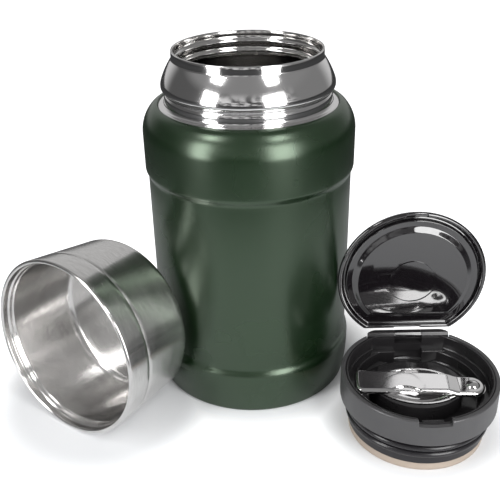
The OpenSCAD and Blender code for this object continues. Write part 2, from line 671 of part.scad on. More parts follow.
module spoon_bowl() color([0.84, 0.84, 0.85]) on_stopper() on_rivet() difference() {
    union() {
        intersection() {
            bowl_form(0);
            block([bowl_x - bowl_l, -bowl_w, -bowl_depth - 1], [bowl_x + bowl_l, bowl_w, 0]);
        }
        translate([0, 0, -spoon_sheet]) linear_extrude(spoon_sheet)
            polygon(concat(tab_plan(0), [[neck_x, tab_w / 2], [neck_x, -tab_w / 2]]));
    }
    bowl_form(spoon_sheet);
    translate([0, 0, -spoon_sheet - 1]) cylinder(r = shank_r + 0.02, h = spoon_sheet + 2);
}

module spoon_washer() color([0.7, 0.7, 0.7]) on_stopper() on_rivet() difference() {
    cylinder(r = 4.4, h = washer_t);
    translate([0, 0, -1]) cylinder(r = shank_r + 0.02, h = washer_t + 2);
}

module spoon_rivet() color([0.8, 0.8, 0.82]) on_stopper() on_rivet()
    turned(concat([[0, -spoon_sheet - tail_h], [tail_r - 0.3, -spoon_sheet - tail_h],
                   [tail_r, -spoon_sheet - tail_h + 0.3], [tail_r, -spoon_sheet], [shank_r, -spoon_sheet],
                   [shank_r, head_z]],
                  arc([0, head_z + dome_h - dome_r], dome_r, acos(rivet_d / 2 / dome_r), 90, 7)));

// ---- cup: its two walls are welded face to face along the crown of the lip ----
module cup_outer() color([0.74, 0.73, 0.72]) as_cup() difference() {
    sheet(cup_path, cup_wall);
    translate([0, 0, -cup_lip / 2]) cylinder(r = lip_mid + fit / 2, h = cup_lip);
}

module cup_liner() color([0.78, 0.77, 0.76]) as_cup() difference() {
    sheet(cup_liner_path, -cup_wall);
    translate([0, 0, -cup_lip / 2]) difference() {
        cylinder(r = cup_r + 1, h = cup_lip);
        translate([0, 0, -1]) cylinder(r = lip_mid - fit / 2, h = cup_lip + 2);
    }
}

outer_shell();
neck_ring();
inner_liner();
copper_foil();
getter();
outer_bottom();
vacuum_plug();
base_cap();
stopper_body();
spoon_tray();
stopper_foam();
stopper_base();
seal_ring();
hinge_pin();
flip_lid();
spoon_bowl();
spoon_handle();
spoon_washer();
spoon_rivet();
cup_outer();
cup_liner();
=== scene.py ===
# %% [markdown]
# # An insulated food jar, its cup and its stopper
# A vacuum jar stands in the middle. Its serving cup lies on its side to the left, and its stopper
# stands open to the right, with a folding spoon in the tray under the flip lid.
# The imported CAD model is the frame: every piece made here stands where a CAD node stands, and rides
# on the same body, so the lid, the spoon, the stopper and the cup still move.

# %% Load the frame
import json
from math import (acos, asin, atan2, ceil, copysign, cos, degrees, hypot, pi, radians, sin, sqrt,
                  tau)

import bmesh
import bpy
from mathutils import Matrix, Vector


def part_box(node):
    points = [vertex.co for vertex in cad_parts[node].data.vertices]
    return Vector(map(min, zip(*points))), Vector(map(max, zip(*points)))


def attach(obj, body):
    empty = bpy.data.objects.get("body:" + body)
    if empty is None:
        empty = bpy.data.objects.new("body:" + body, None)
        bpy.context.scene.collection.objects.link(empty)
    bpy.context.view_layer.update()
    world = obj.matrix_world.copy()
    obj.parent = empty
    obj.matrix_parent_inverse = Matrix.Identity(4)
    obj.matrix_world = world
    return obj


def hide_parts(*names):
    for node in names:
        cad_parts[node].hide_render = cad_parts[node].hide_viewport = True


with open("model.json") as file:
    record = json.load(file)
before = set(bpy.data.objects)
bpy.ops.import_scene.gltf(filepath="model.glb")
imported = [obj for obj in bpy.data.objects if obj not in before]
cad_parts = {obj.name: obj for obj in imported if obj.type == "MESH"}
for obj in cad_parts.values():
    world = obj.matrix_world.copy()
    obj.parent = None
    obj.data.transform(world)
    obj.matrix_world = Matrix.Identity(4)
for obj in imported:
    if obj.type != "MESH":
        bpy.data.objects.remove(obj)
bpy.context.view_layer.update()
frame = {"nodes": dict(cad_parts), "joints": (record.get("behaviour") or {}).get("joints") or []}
nodes = frame["nodes"]
MM = 0.001


def new_object(name, data):
    """A new object in the scene."""
    thing = bpy.data.objects.new(name, data)
    bpy.context.scene.collection.objects.link(thing)
    return thing


print("CAD nodes:", len(nodes))

# %% [markdown]
# ## Places taken from the frame
# The stopper's centre is the middle of its round seal, the spoon turns about its rivet, and the
# lid about the hinge joint. Reading them from the frame keeps the looks on the CAD pieces.

# %% Places
def middle(node):
    low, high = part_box(node)
    return (low + high) / (2 * MM)


joint_at = {joint["name"]: joint for joint in frame["joints"]}
STOPPER = Vector((middle("seal_ring").x, middle("seal_ring").y, 0))
HINGE = Vector(joint_at["lid_hinge"]["pos_m"]) / MM - STOPPER
RIVET = middle("spoon_rivet") - STOPPER
LID_OPEN = joint_at["lid_hinge"]["range_deg"][1]
print("stopper at", [round(v, 1) for v in STOPPER], "hinge", [round(v, 1) for v in HINGE])

# %% [markdown]
# ## The camera
# A short telephoto view from the front, looking down by about 28 degrees, with a slight roll.
# The lens is given by the focal length in pixels of a 500-pixel frame on a 36 mm sensor.

# %% Camera
CAMERA_AT = Vector((0.0, -0.35288, 0.25387))
CAMERA_YAW = radians(-0.122)
CAMERA_PITCH = radians(28.175)
CAMERA_ROLL = radians(-1.205)
FOCAL_PX = 777.85
FRAME_PX = 500
SENSOR_MM = 36.0

ahead = Vector((sin(CAMERA_YAW) * cos(CAMERA_PITCH), cos(CAMERA_YAW) * cos(CAMERA_PITCH),
                -sin(CAMERA_PITCH)))
right = Vector((cos(CAMERA_YAW), -sin(CAMERA_YAW), 0))
upward = right.cross(ahead)
view_right = cos(CAMERA_ROLL) * right + sin(CAMERA_ROLL) * upward
view_up = cos(CAMERA_ROLL) * upward - sin(CAMERA_ROLL) * right

camera = new_object("camera", bpy.data.cameras.new("camera"))
camera.data.sensor_width = SENSOR_MM
camera.data.lens = FOCAL_PX / FRAME_PX * SENSOR_MM
camera.matrix_world = Matrix.Translation(CAMERA_AT) @ Matrix(
    (view_right, view_up, -ahead)).transposed().to_4x4()
bpy.context.scene.camera = camera
bpy.context.scene.view_settings.view_transform = "Standard"

# %% [markdown]
# ## Outlines
# Nearly every piece is round, so it starts as half of its section: points at a radius and a
# height, in millimetres. Straight runs are split, because smooth shading spreads a corner's bend
# over the whole of the next face.

# %% Helpers for outlines
def arc(cx, cz, r, start, stop, n=10):
    """Points on a circle about (cx, cz), from one angle to another in degrees."""
    return [(cx + r * cos(radians(start + (stop - start) * i / n)),
             cz + r * sin(radians(start + (stop - start) * i / n))) for i in range(n + 1)]


def corner(r, z, bend, start, stop, n):
    """The arc that rounds a square corner, whose point is at (r, z)."""
    half_way = radians((start + stop) / 2)
    return arc(r - copysign(bend, cos(half_way)), z - copysign(bend, sin(half_way)), bend, start,
               stop, n)


def step(r, z, depth, bend, n=8):
    """Two equal arcs on the way up that bring the wall in by depth, or out if it is negative."""
    turn = degrees(acos(1 - abs(depth) / (2 * bend)))
    side = copysign(1, depth)
    start = 90 - 90 * side
    return (arc(r - side * bend, z, bend, start, start + side * turn, n)
            + arc(r - depth + side * bend, z + 2 * bend * sin(radians(turn)), bend,
                  180 - start + side * turn, 180 - start, n))


def bead(r, z, height, half, n=12):
    """A rounded ring that stands out of the wall, or into it when height is negative."""
    bend = (half ** 2 + height ** 2) / (2 * abs(height))
    turn = degrees(acos((bend - abs(height)) / bend))
    if height > 0:
        return arc(r + height - bend, z, bend, -turn, turn, n)
    return arc(r + height + bend, z, bend, 180 + turn, 180 - turn, n)


# %% Walls and short runs
def without_doubles(points, gap=0.02):
    """The outline without the points that lie closer together than gap."""
    kept = []
    for point in points:
        if not kept or hypot(point[0] - kept[-1][0], point[1] - kept[-1][1]) > gap:
            kept.append(point)
    return kept


def beside(points, wall):
    """The same outline set off to its left by the wall's thickness."""
    moved = []
    for i, (r, z) in enumerate(points):
        (r0, z0), (r1, z1) = points[max(i - 1, 0)], points[min(i + 1, len(points) - 1)]
        length = hypot(r1 - r0, z1 - z0)
        moved.append((max(r - wall * (z1 - z0) / length, 0), z + wall * (r1 - r0) / length))
    return moved


def finely(points, longest=2.0):
    """Splits the long straight runs of an outline."""
    out = []
    for (r0, z0), (r1, z1) in zip(points, points[1:]):
        cuts = max(1, ceil(hypot(r1 - r0, z1 - z0) / longest))
        out += [(r0 + (r1 - r0) * i / cuts, z0 + (z1 - z0) * i / cuts) for i in range(cuts)]
    return out + [points[-1]]


# %% [markdown]
# ## Turning
# A spin turns the outline around the axis. Every point carries how far along the outline it lies,
# and the UV map is made from that and the angle. Brushed steel needs it: its lines run around the
# piece, and its glint follows them.

# %% Make a piece of a bmesh
def shift(x, y, z):
    """A move by millimetres."""
    return Matrix.Translation(Vector((x, y, z)) * MM)


def placed(bm, matrix):
    """Moves and turns a bmesh, and gives it back."""
    bmesh.ops.transform(bm, matrix=matrix, verts=bm.verts)
    return bm


def as_object(name, bm):
    mesh = bpy.data.meshes.new(name)
    bm.to_mesh(mesh)
    bm.free()
    return new_object(name, mesh)


def new_piece(name, bm, finishes, body=None, node=None):
    """An object with smooth faces that rides on a body and stands in for a CAD node."""
    piece = as_object(name, bm)
    piece.data.shade_smooth()
    for finish in finishes:
        piece.data.materials.append(finish)
    if body:
        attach(piece, body)
        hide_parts(node)
    print(name, len(piece.data.polygons), "faces")
    return piece


# %% Turn an outline
TURN_STEPS = 192
SAME_PLACE = 1e-7  # metres


def turned(outline, steps=TURN_STEPS):
    """A closed outline turned about Z, with a UV map of turns and metres along the outline."""
    bm = bmesh.new()
    along = bm.verts.layers.float.new("along")
    verts, walked = [], 0.0
    for i, (r, z) in enumerate(outline):
        if i:
            walked += hypot(r - outline[i - 1][0], z - outline[i - 1][1]) * MM
        vert = bm.verts.new((r * MM, 0, z * MM))
        vert[along] = walked
        verts.append(vert)
    edges = [bm.edges.new(pair) for pair in zip(verts, verts[1:] + verts[:1])
             if max(pair[0].co.x, pair[1].co.x) > SAME_PLACE]
    bmesh.ops.spin(bm, geom=verts + edges, cent=(0, 0, 0), axis=(0, 0, 1), angle=tau, steps=steps,
                   use_merge=True)
    bmesh.ops.remove_doubles(bm, verts=bm.verts, dist=SAME_PLACE)
    bmesh.ops.recalc_face_normals(bm, faces=bm.faces)
    map_turns(bm, along)
    return bm


def map_turns(bm, along):
    """UV: turns around the axis, without a jump inside a face, and the outline's float."""
    uv = bm.loops.layers.uv.new("around")
    for face in bm.faces:
        centre = face.calc_center_median()
        here = atan2(centre.y, centre.x)
        marks = [loop.vert[along] for loop in face.loops]
        for loop, mark in zip(face.loops, marks):
            point = loop.vert.co
            angle = atan2(point.y, point.x) if hypot(point.x, point.y) > SAME_PLACE else here
            angle += tau * round((here - angle) / tau)
            loop[uv].uv = (angle / tau, mark)


def sheet(outline, wall):
    """A turned piece of sheet metal: the outline, and the same outline set in by the wall."""
    inner = beside(outline, wall)
    return turned(finely(without_doubles(outline)) + finely(without_doubles(inner[::-1])))


# %% [markdown]
# ## Finishes
# Three effects are shared and are built once as node groups: lines brushed around a turned piece,
# the fine orange peel of a powder coat, and faint smudges that break up a polished surface. A group
# puts out masks and heights only. Each finish keeps its own shader and plain numbers.

# %% A short way to build node trees
def tree_tools(tree):
    """A function that adds a shader node, sets its numbers and links what feeds it."""
    def add(kind, links=None, **settings):
        node = tree.nodes.new("ShaderNode" + kind)
        for key, value in settings.items():
            setattr(node, key, value)
        for socket, source in (links or {}).items():
            if isinstance(source, (int, float, tuple, list)):
                node.inputs[socket].default_value = source
            else:
                tree.links.new(source, node.inputs[socket])
        return node
    return add


def empty_tree(owner):
    """Clears the nodes of a material or a world and gives the tool that adds new ones."""
    owner.use_nodes = True
    owner.node_tree.nodes.clear()
    return tree_tools(owner.node_tree)


def new_group(name, inputs, outputs):
    """An empty shader node group with named float or vector inputs and float outputs."""
    group = bpy.data.node_groups.new(name, "ShaderNodeTree")
    for label, value in inputs.items():
        kind = "NodeSocketVector" if value is None else "NodeSocketFloat"
        socket = group.interface.new_socket(label, in_out="INPUT", socket_type=kind)
        if value is not None:
            socket.default_value = value
    for label in outputs:
        group.interface.new_socket(label, in_out="OUTPUT", socket_type="NodeSocketFloat")
    given, made = group.nodes.new("NodeGroupInput"), group.nodes.new("NodeGroupOutput")
    return group, tree_tools(group), given.outputs, made


# %% Short names for the nodes used most
def feed(node, label, source):
    node.id_data.links.new(source, node.inputs[label])


def maths(add, operation, first, second):
    return add("Math", {0: first, 1: second}, operation=operation).outputs[0]


def times(add, first, second):
    return maths(add, "MULTIPLY", first, second)


def mapped(add, value, span, levels=(0.0, 1.0), curve="LINEAR"):
    """A value's span turned into levels, and held at them beyond it."""
    return add("MapRange", {"Value": value, "From Min": span[0], "From Max": span[1],
                                      "To Min": levels[0], "To Max": levels[1]},
               interpolation_type=curve).outputs[0]


def mixed(add, mask, one, other):
    """One value where the mask is 0 and the other where it is 1."""
    return add("Mix", {0: mask, 2: one, 3: other}).outputs[0]


def noise(add, place, scale=1.0, detail=2.0, roughness=0.5):
    return add("TexNoise", {"Vector": place, "Scale": scale, "Detail": detail,
                                      "Roughness": roughness}).outputs[0]


# %% Brushed lines that follow the turning
def brushed_lines():
    """Lines around a turned piece, from its UV map: short across, long around, without a seam."""
    group, add, given, made = new_group(
        "brushed_lines", {"UV": None, "Lines per metre": 5000.0, "Streaks around": 9.0},
        ["Lines", "Bands"])
    split = add("SeparateXYZ", {0: given["UV"]}).outputs
    angle = times(add, split["X"], tau)
    reach, swing = (times(add, add("Math", {0: angle}, operation=wave).outputs[0],
                          given["Streaks around"]) for wave in ("COSINE", "SINE"))
    depth = times(add, split["Y"], given["Lines per metre"])
    place = add("CombineXYZ", {"X": reach, "Y": swing, "Z": depth}).outputs[0]
    slow = add("VectorMath", {0: place, 1: (0.25, 0.25, 0.08)},
               operation="MULTIPLY").outputs[0]
    feed(made, "Lines", noise(add, place, detail=3.0, roughness=0.65))
    feed(made, "Bands", noise(add, slow))
    return group


# %% Powder coat grain and faint smudges
def powder_grain():
    group, add, given, made = new_group("powder_grain", {"Vector": None, "Grains per metre": 2600.0},
                                        ["Grain", "Cloud"])
    feed(made, "Grain", noise(add, given["Vector"], given["Grains per metre"], roughness=0.55))
    feed(made, "Cloud", noise(add, given["Vector"], 35.0))
    return group


def smudges():
    group, add, given, made = new_group("smudges", {"Vector": None, "Scale": 60.0, "Amount": 0.03,
                                                    "Base": 0.08}, ["Roughness", "Mask"])
    cloud = noise(add, given["Vector"], given["Scale"], 3.0)
    feed(made, "Roughness", maths(add, "ADD", times(add, cloud, given["Amount"]), given["Base"]))
    feed(made, "Mask", cloud)
    return group


BRUSHED, GRAIN, SMUDGES = brushed_lines(), powder_grain(), smudges()
print("node groups:", [group.name for group in bpy.data.node_groups])

# %% Start a finish
def new_finish(name, **sockets):
    """A material with a Principled shader, its plain numbers set on the shader's own sockets."""
    material = bpy.data.materials.new(name)
    add = empty_tree(material)
    shader = add("BsdfPrincipled")
    for label, value in sockets.items():
        shader.inputs[label.replace("_", " ")].default_value = value
    add("OutputMaterial", {"Surface": shader.outputs[0]})
    return material, add, shader


def coloured(add, mask, dark, light):
    """A colour that runs from dark to light over the middle of a mask."""
    ramp = add("ValToRGB", {"Fac": mask})
    for element, place, tone in zip(ramp.color_ramp.elements, (0.3, 0.7), (dark, light)):
        element.position = place
        element.color = (*tone, 1)
    return ramp.outputs["Color"]


def raised(add, shader, height, strength, depth):
    """A bump on the shader's normal; depth is in millimetres."""
    bump = add("Bump", {"Height": height, "Strength": strength, "Distance": depth * MM})
    feed(shader, "Normal", bump.outputs[0])


# %% Green powder coat
def powder_coat(name, dark, light, roughness):
    """A coat with an orange-peel grain; its high index and tint give it a green metallic glint."""
    material, add, shader = new_finish(name, IOR=1.85, Specular_Tint=(0.80, 1.0, 0.78, 1))
    place = add("TexCoord").outputs["Object"]
    grain = add("Group", {"Vector": place, "Grains per metre": 1900.0}, node_tree=GRAIN)
    cloud = grain.outputs["Cloud"]
    feed(shader, "Base Color", coloured(add, cloud, dark, light))
    feed(shader, "Roughness", mapped(add, cloud, (0, 1), (roughness - 0.03, roughness + 0.03)))
    raised(add, shader, grain.outputs["Grain"], 0.4, 0.06)
    return material


green_coat = powder_coat("green_powder_coat", (0.002, 0.0095, 0.002), (0.003, 0.0125, 0.003), 0.27)
print("made", green_coat.name)

# %% Polished steel
def lines_around(add, per_metre, streaks):
    """The brushed lines on the piece's own UV map."""
    around = add("UVMap", uv_map="around").outputs[0]
    return add("Group", {"UV": around, "Lines per metre": per_metre,
                                   "Streaks around": streaks}, node_tree=BRUSHED).outputs


def smudged(add, shader, scale, amount, roughness):
    """Roughness with faint smudges; gives their mask and the place that they are read at."""
    place = add("TexCoord").outputs["Object"]
    smudge = add("Group", {"Vector": place, "Scale": scale, "Amount": amount,
                                     "Base": roughness}, node_tree=SMUDGES)
    feed(shader, "Roughness", smudge.outputs["Roughness"])
    return smudge.outputs["Mask"], place


def polished_steel(name, tone, roughness, lines=0.0):
    """Mirror steel. Where it was turned, faint lines run around it."""
    material, add, shader = new_finish(name, Metallic=1.0, Base_Color=(*tone, 1))
    if lines:
        raised(add, shader, lines_around(add, 3500.0, 3.0)["Lines"], lines, 0.02)
    smudged(add, shader, 70.0, 0.03, roughness)
    return material


neck_steel = polished_steel("neck_steel", (0.80, 0.79, 0.79), 0.10, lines=0.05)
liner_steel = polished_steel("liner_steel", (0.66, 0.65, 0.64), 0.10, lines=0.04)
spoon_steel = polished_steel("spoon_steel", (0.83, 0.82, 0.82), 0.06)
copper = polished_steel("copper_foil_finish", (0.80, 0.46, 0.31), 0.25)
cast_metal = polished_steel("cast_bead_finish", (0.45, 0.42, 0.38), 0.45)

# %% Brushed steel
def brushed_steel(name, dark, light, roughness):
    """Steel brushed around its axis, with a glint that is stretched across the lines."""
    material, add, shader = new_finish(name, Metallic=1.0, Anisotropic=0.85,
                                       Anisotropic_Rotation=0.25)
    brushed = lines_around(add, 3000.0, 9.0)
    feed(shader, "Base Color", coloured(add, brushed["Lines"], dark, light))
    feed(shader, "Roughness", mapped(add, brushed["Bands"], (0, 1),
                                     (roughness - 0.05, roughness + 0.06)))
    feed(shader, "Tangent", add("Tangent", direction_type="UV_MAP",
                                uv_map="around").outputs[0])
    raised(add, shader, brushed["Lines"], 0.12, 0.03)
    return material


cup_steel = brushed_steel("cup_steel", (0.60, 0.59, 0.58), (0.80, 0.79, 0.78), 0.22)
print("made", cup_steel.name)

# %% Plastics, silicone and foam
def moulded(name, tone, lighter, roughness, grain=0.0, ior=1.5):
    """A moulded surface, glossy or with a fine grain, with its colour slightly clouded."""
    material, add, shader = new_finish(name, IOR=ior)
    mask, place = smudged(add, shader, 90.0, 0.05, roughness)
    feed(shader, "Base Color", coloured(add, mask, tone, lighter))
    if grain:
        fine = add("Group", {"Vector": place, "Grains per metre": 5000.0}, node_tree=GRAIN)
        raised(add, shader, fine.outputs["Grain"], grain, 0.03)
    return material


gloss_black = moulded("gloss_black_plastic", (0.006, 0.005, 0.006), (0.008, 0.007, 0.008), 0.03,
                      ior=2.0)
tray_black = moulded("tray_black_plastic", (0.016, 0.015, 0.016), (0.021, 0.020, 0.021), 0.13)
satin_black = moulded("satin_black_plastic", (0.050, 0.049, 0.051), (0.058, 0.057, 0.059), 0.32,
                      grain=0.25, ior=1.6)
# The barrel's finish is glossier than the rim's, and its darker base colour is painted shade under
# the rim.
glossy_barrel_with_painted_shade = moulded("barrel_gloss_and_painted_shade", (0.012, 0.011, 0.013), (0.016, 0.015, 0.017), 0.20)
silicone = moulded("tan_silicone", (0.37, 0.305, 0.25), (0.41, 0.34, 0.28), 0.5, grain=0.2)
foam = moulded("white_foam", (0.80, 0.80, 0.77), (0.88, 0.88, 0.85), 0.8, grain=0.8)
print("finishes:", len(bpy.data.materials))

# %% [markdown]
# ## The jar's shell
# The coated shell is drawn from one steel tube: a base band with a slightly bowed side, a soft
# pressed step into the waist, a crisper step out to the shoulder band, and a large round shoulder.
# Two equal arcs make each step, so the wall stays smooth, and the shoulder is two arcs that meet
# in line.

# %% Shell
BODY_R = 50.1
BASE_R = 50.4
WAIST_R = 48.85
SHELL_H = 144.6
BASE_WIDE_Z = 17.0
BASE_BOW = 90.0
BASE_STEP_Z = BASE_WIDE_Z + 3
BASE_STEP_BEND = 6
BAND_STEP_Z = SHELL_H - 33.68
BAND_STEP_BEND = 4
FOOT_ROUND = 1.2
FOOT_LAND = 1.5
SHOULDER_R = 16.0
SHOULDER_TURN = 42
KNUCKLE_R = 6.0
FLANGE_R = 42.4
SHELL_WALL = 0.8

foot_lean = degrees(asin((BASE_WIDE_Z - FOOT_ROUND) / (BASE_BOW - FOOT_ROUND)))
foot_x = BASE_R - BASE_BOW + (BASE_BOW - FOOT_ROUND) * cos(radians(foot_lean))
knuckle_x = BODY_R - SHOULDER_R + (SHOULDER_R - KNUCKLE_R) * cos(radians(SHOULDER_TURN))
knuckle_rise = (SHOULDER_R - KNUCKLE_R) * sin(radians(SHOULDER_TURN))
knuckle_end = degrees(acos((FLANGE_R - knuckle_x) / KNUCKLE_R))
shoulder_z = SHELL_H - knuckle_rise - KNUCKLE_R * sin(radians(knuckle_end))

shell_outline = (
    [(foot_x - FOOT_LAND, 0)]
    + arc(foot_x, FOOT_ROUND, FOOT_ROUND, -90, -foot_lean, 6)
    + arc(BASE_R - BASE_BOW, BASE_WIDE_Z, BASE_BOW, -foot_lean, 0, 12)
    + step(BASE_R, BASE_STEP_Z, BASE_R - WAIST_R, BASE_STEP_BEND)
    + step(WAIST_R, BAND_STEP_Z, WAIST_R - BODY_R, BAND_STEP_BEND)
    + arc(BODY_R - SHOULDER_R, shoulder_z, SHOULDER_R, 0, SHOULDER_TURN, 16)
    + arc(knuckle_x, shoulder_z + knuckle_rise, KNUCKLE_R, SHOULDER_TURN, knuckle_end, 12))
new_piece("jar_shell", sheet(shell_outline, SHELL_WALL), [green_coat], "jar", "outer_shell")

# %% [markdown]
# ## The neck
# The neck is a second piece, turned and polished: a flange that lies on the shell, a collar, a
# narrow groove, a bulge that the cup's mouth goes round, and a straight band up to the lip.

# %% Neck
COLLAR_R = 39.1
BULGE_R = 40.4
LIP_R = 34.9
LIP_Z = 169.0
LIP_BAND = 3.4
FLANGE_EDGE = 0.25
FLANGE_FILLET = 1.6
BULGE_FOOT, BULGE_TOP, BULGE_HOLLOW = 2.6, 7.0, 1.6
FLANK = (20, 35)
NECK_WALL = 0.5

flank_low, flank_high = (radians(turn) for turn in FLANK)
flank_r = ((BULGE_R - LIP_R - BULGE_TOP * (1 - cos(flank_low))
            - BULGE_HOLLOW * (1 - cos(flank_high))) / (cos(flank_low) - cos(flank_high)))
bulge_z = LIP_Z - LIP_BAND - (BULGE_TOP * sin(flank_low)
                              + flank_r * (sin(flank_high) - sin(flank_low))
                              + BULGE_HOLLOW * sin(flank_high))
groove_z = bulge_z - 3.2
neck_outline = (
    [(FLANGE_R - FLANGE_EDGE, SHELL_H - 0.2)]
    + corner(COLLAR_R, SHELL_H - 0.2, FLANGE_FILLET, 270, 180, 8)
    + [(COLLAR_R, groove_z - 0.6), (COLLAR_R - 0.4, groove_z - 0.25), (COLLAR_R - 0.5, groove_z),
       (COLLAR_R - 0.35, groove_z + 0.4)]
    + arc(BULGE_R - BULGE_FOOT, bulge_z, BULGE_FOOT, -55, 0, 10)
    + arc(BULGE_R - BULGE_TOP, bulge_z, BULGE_TOP, 0, FLANK[0], 8)
    + arc(BULGE_R - BULGE_TOP + (BULGE_TOP - flank_r) * cos(flank_low),
          bulge_z + (BULGE_TOP - flank_r) * sin(flank_low), flank_r, *FLANK, 14)
    + arc(LIP_R + BULGE_HOLLOW, LIP_Z - LIP_BAND, BULGE_HOLLOW, 180 + FLANK[1], 180, 8)
    + [(LIP_R, LIP_Z - 0.3), (LIP_R - 0.1, LIP_Z - 0.08), (LIP_R - 0.3, LIP_Z)])
new_piece("jar_neck", sheet(neck_outline, NECK_WALL), [neck_steel], "jar", "neck_ring")

# %% [markdown]
# ## The inner vessel
# From the lip the mouth goes straight down past two rolled thread rings to the ledge that the seal
# rests on. Below that throat the vessel widens until it almost fills the shell.

# %% Inner vessel
MOUTH_R = 33.9
LEDGE_Z = LIP_Z - 21.5
THROAT_R = 31.4
LINER_R = 45.6
LINER_FLOOR = 9.0
LINER_ROUND = 12
LINER_BEND = 9
LINER_WALL = 0.5
THREAD_DEPTH, THREAD_HALF = 0.7, 1.3

widening = 2 * LINER_BEND * sin(acos(1 - (LINER_R - THROAT_R) / (2 * LINER_BEND)))
liner_outline = (
    [(0, LINER_FLOOR)] + corner(LINER_R, LINER_FLOOR, LINER_ROUND, -90, 0, 16)
    + step(LINER_R, LEDGE_Z - 4.5 - widening, LINER_R - THROAT_R, LINER_BEND, 14)
    + [(THROAT_R, LEDGE_Z - 0.7)] + corner(THROAT_R, LEDGE_Z, 0.6, 180, 90, 5)
    + corner(MOUTH_R, LEDGE_Z, 0.5, -90, 0, 5)
    + bead(MOUTH_R, LIP_Z - 10, -THREAD_DEPTH, THREAD_HALF)
    + bead(MOUTH_R, LIP_Z - 5.4, -THREAD_DEPTH, THREAD_HALF)
    + [(MOUTH_R, LIP_Z - 0.3), (MOUTH_R + 0.1, LIP_Z - 0.08), (MOUTH_R + 0.3, LIP_Z)])
new_piece("jar_vessel", sheet(liner_outline, -LINER_WALL), [liner_steel], "jar", "inner_liner")

# %% [markdown]
# ## The cup
# The cup's two walls meet in a rolled lip. The outside carries a score line a third of the way
# back, and the inside of the mouth is stepped where the cup seats on the jar's shoulder. The cup
# lies on its lip and its closed end, which is a little narrower, so its axis dips by a few degrees.

# %% Where the cup lies
CUP_R = 44.0
CUP_END_R = 41.0
CUP_ROUND = 6.0
CUP_WALL = 0.6
CUP_LIP = 2.0
CUP_DEPTH = 40.0
CUP_H = CUP_DEPTH + 2 * CUP_WALL + 3.0
CUP_TURN = radians(35.9)
CUP_SHIFT = -40.1
CUP_OFF = 2.4

lip_x, lip_z = CUP_R - CUP_LIP / 2, CUP_LIP / 2
end_x, end_z = CUP_END_R - CUP_ROUND, CUP_H - CUP_ROUND
cup_tilt = (atan2(lip_x - end_x, end_z - lip_z)
            + asin((CUP_LIP / 2 - CUP_ROUND) / hypot(end_x - lip_x, end_z - lip_z)))
cup_back = BASE_R + CUP_OFF + CUP_H * cos(cup_tilt)
cup_at = Vector((CUP_SHIFT * cos(CUP_TURN) - cup_back * sin(CUP_TURN),
                 -CUP_SHIFT * sin(CUP_TURN) - cup_back * cos(CUP_TURN),
                 CUP_LIP / 2 + lip_z * sin(cup_tilt) + lip_x * cos(cup_tilt)))
cup_place = (Matrix.Translation(cup_at * MM) @ Matrix.Rotation(-CUP_TURN, 4, "Z")
             @ Matrix.Rotation(-pi / 2 - cup_tilt, 4, "X"))
cup_foot = cup_place @ (Vector((0, 0, CUP_H / 2)) * MM) / MM


def cup_wall_r(z):
    return CUP_R + (CUP_END_R - CUP_R) * (z - CUP_LIP / 2) / (CUP_H - CUP_ROUND - CUP_LIP / 2)


# %% Cup walls
SCORE_Z = 13.2
SCORE_CUT = 0.14
STEP_Z = 3.0
LINING_ROUND = 4

score_r = cup_wall_r(SCORE_Z) - SCORE_CUT
cup_outline = (
    arc(lip_x, lip_z, CUP_LIP / 2, -90, 0, 10)
    + [(cup_wall_r(SCORE_Z - 0.35), SCORE_Z - 0.35), (score_r + 0.02, SCORE_Z - 0.12),
       (score_r, SCORE_Z + 0.08), (cup_wall_r(SCORE_Z + 0.3), SCORE_Z + 0.3)]
    + arc(end_x, end_z, CUP_ROUND, 0, 90, 14) + [(0, CUP_H)])
mouth_steps = [(CUP_R - CUP_LIP - back, STEP_Z + up) for back, up in
               ((0, 0), (0.1, 0.3), (0.6, 0.7), (0.75, 1.0), (0.8, 2.2), (1.0, 2.5), (1.35, 2.9),
                (1.4, 3.3))]
lining_outline = (
    arc(lip_x, lip_z, CUP_LIP / 2, -90, -180, 10) + mouth_steps
    + corner(CUP_END_R - 2 * CUP_WALL - 1.6, CUP_DEPTH, LINING_ROUND, 0, 90, 12)
    + [(0, CUP_DEPTH)])
for name, outline, wall, node in (("cup_shell", cup_outline, CUP_WALL, "cup_outer"),
                                  ("cup_lining", lining_outline, -CUP_WALL, "cup_liner")):
    new_piece(name, placed(sheet(outline, wall), cup_place), [cup_steel], "cup", node)

# %% [markdown]
# ## Cutting and joining
# The mouldings and the spoon are joined and cut from plain solids with Booleans. A Bevel modifier
# rounds the hard edges, as a mould or a press does. The tray alone keeps its edges sharp, because
# its bed is cut too finely for a bevel.

# %% Plain solids, in millimetres
def box_bm(low, high, bevel=0.0):
    """A box between two corners, with its edges rounded if asked."""
    bm = bmesh.new()
    size = Vector(high) - Vector(low)
    bmesh.ops.create_cube(bm, size=1.0, matrix=Matrix.Translation((Vector(low) + size / 2) * MM)
                          @ Matrix.Diagonal((*(size * MM), 1)))
    if bevel:
        bmesh.ops.bevel(bm, geom=bm.edges, offset=bevel * MM, segments=4, profile=0.5,
                        affect="EDGES", material=-1)
    return bm


def bar_bm(radius, length, matrix, steps):
    bm = bmesh.new()
    bmesh.ops.create_cone(bm, cap_ends=True, segments=steps, radius1=radius * MM,
                          radius2=radius * MM, depth=length * MM, matrix=matrix)
    return bm


def rod_bm(radius, length, centre, steps=64):
    """A rod along X about a centre."""
    return bar_bm(radius, length, shift(*centre) @ Matrix.Rotation(pi / 2, 4, "Y"), steps)


def cylinder_bm(radius, low, high, steps=TURN_STEPS, x=0.0, y=0.0):
    """A cylinder about an upright axis, between two heights."""
    bm = bar_bm(radius, high - low, Matrix.Translation((0, 0, (low + high) / 2 * MM)), steps)
    bmesh.ops.translate(bm, verts=bm.verts, vec=(x * MM, y * MM, 0))
    return bm


# %% Booleans and edges
JOIN, CUT, KEEP = "UNION", "DIFFERENCE", "INTERSECT"


def tool(bm):
    """A helper object for a Boolean."""
    bmesh.ops.recalc_face_normals(bm, faces=bm.faces)
    return as_object("tool", bm)


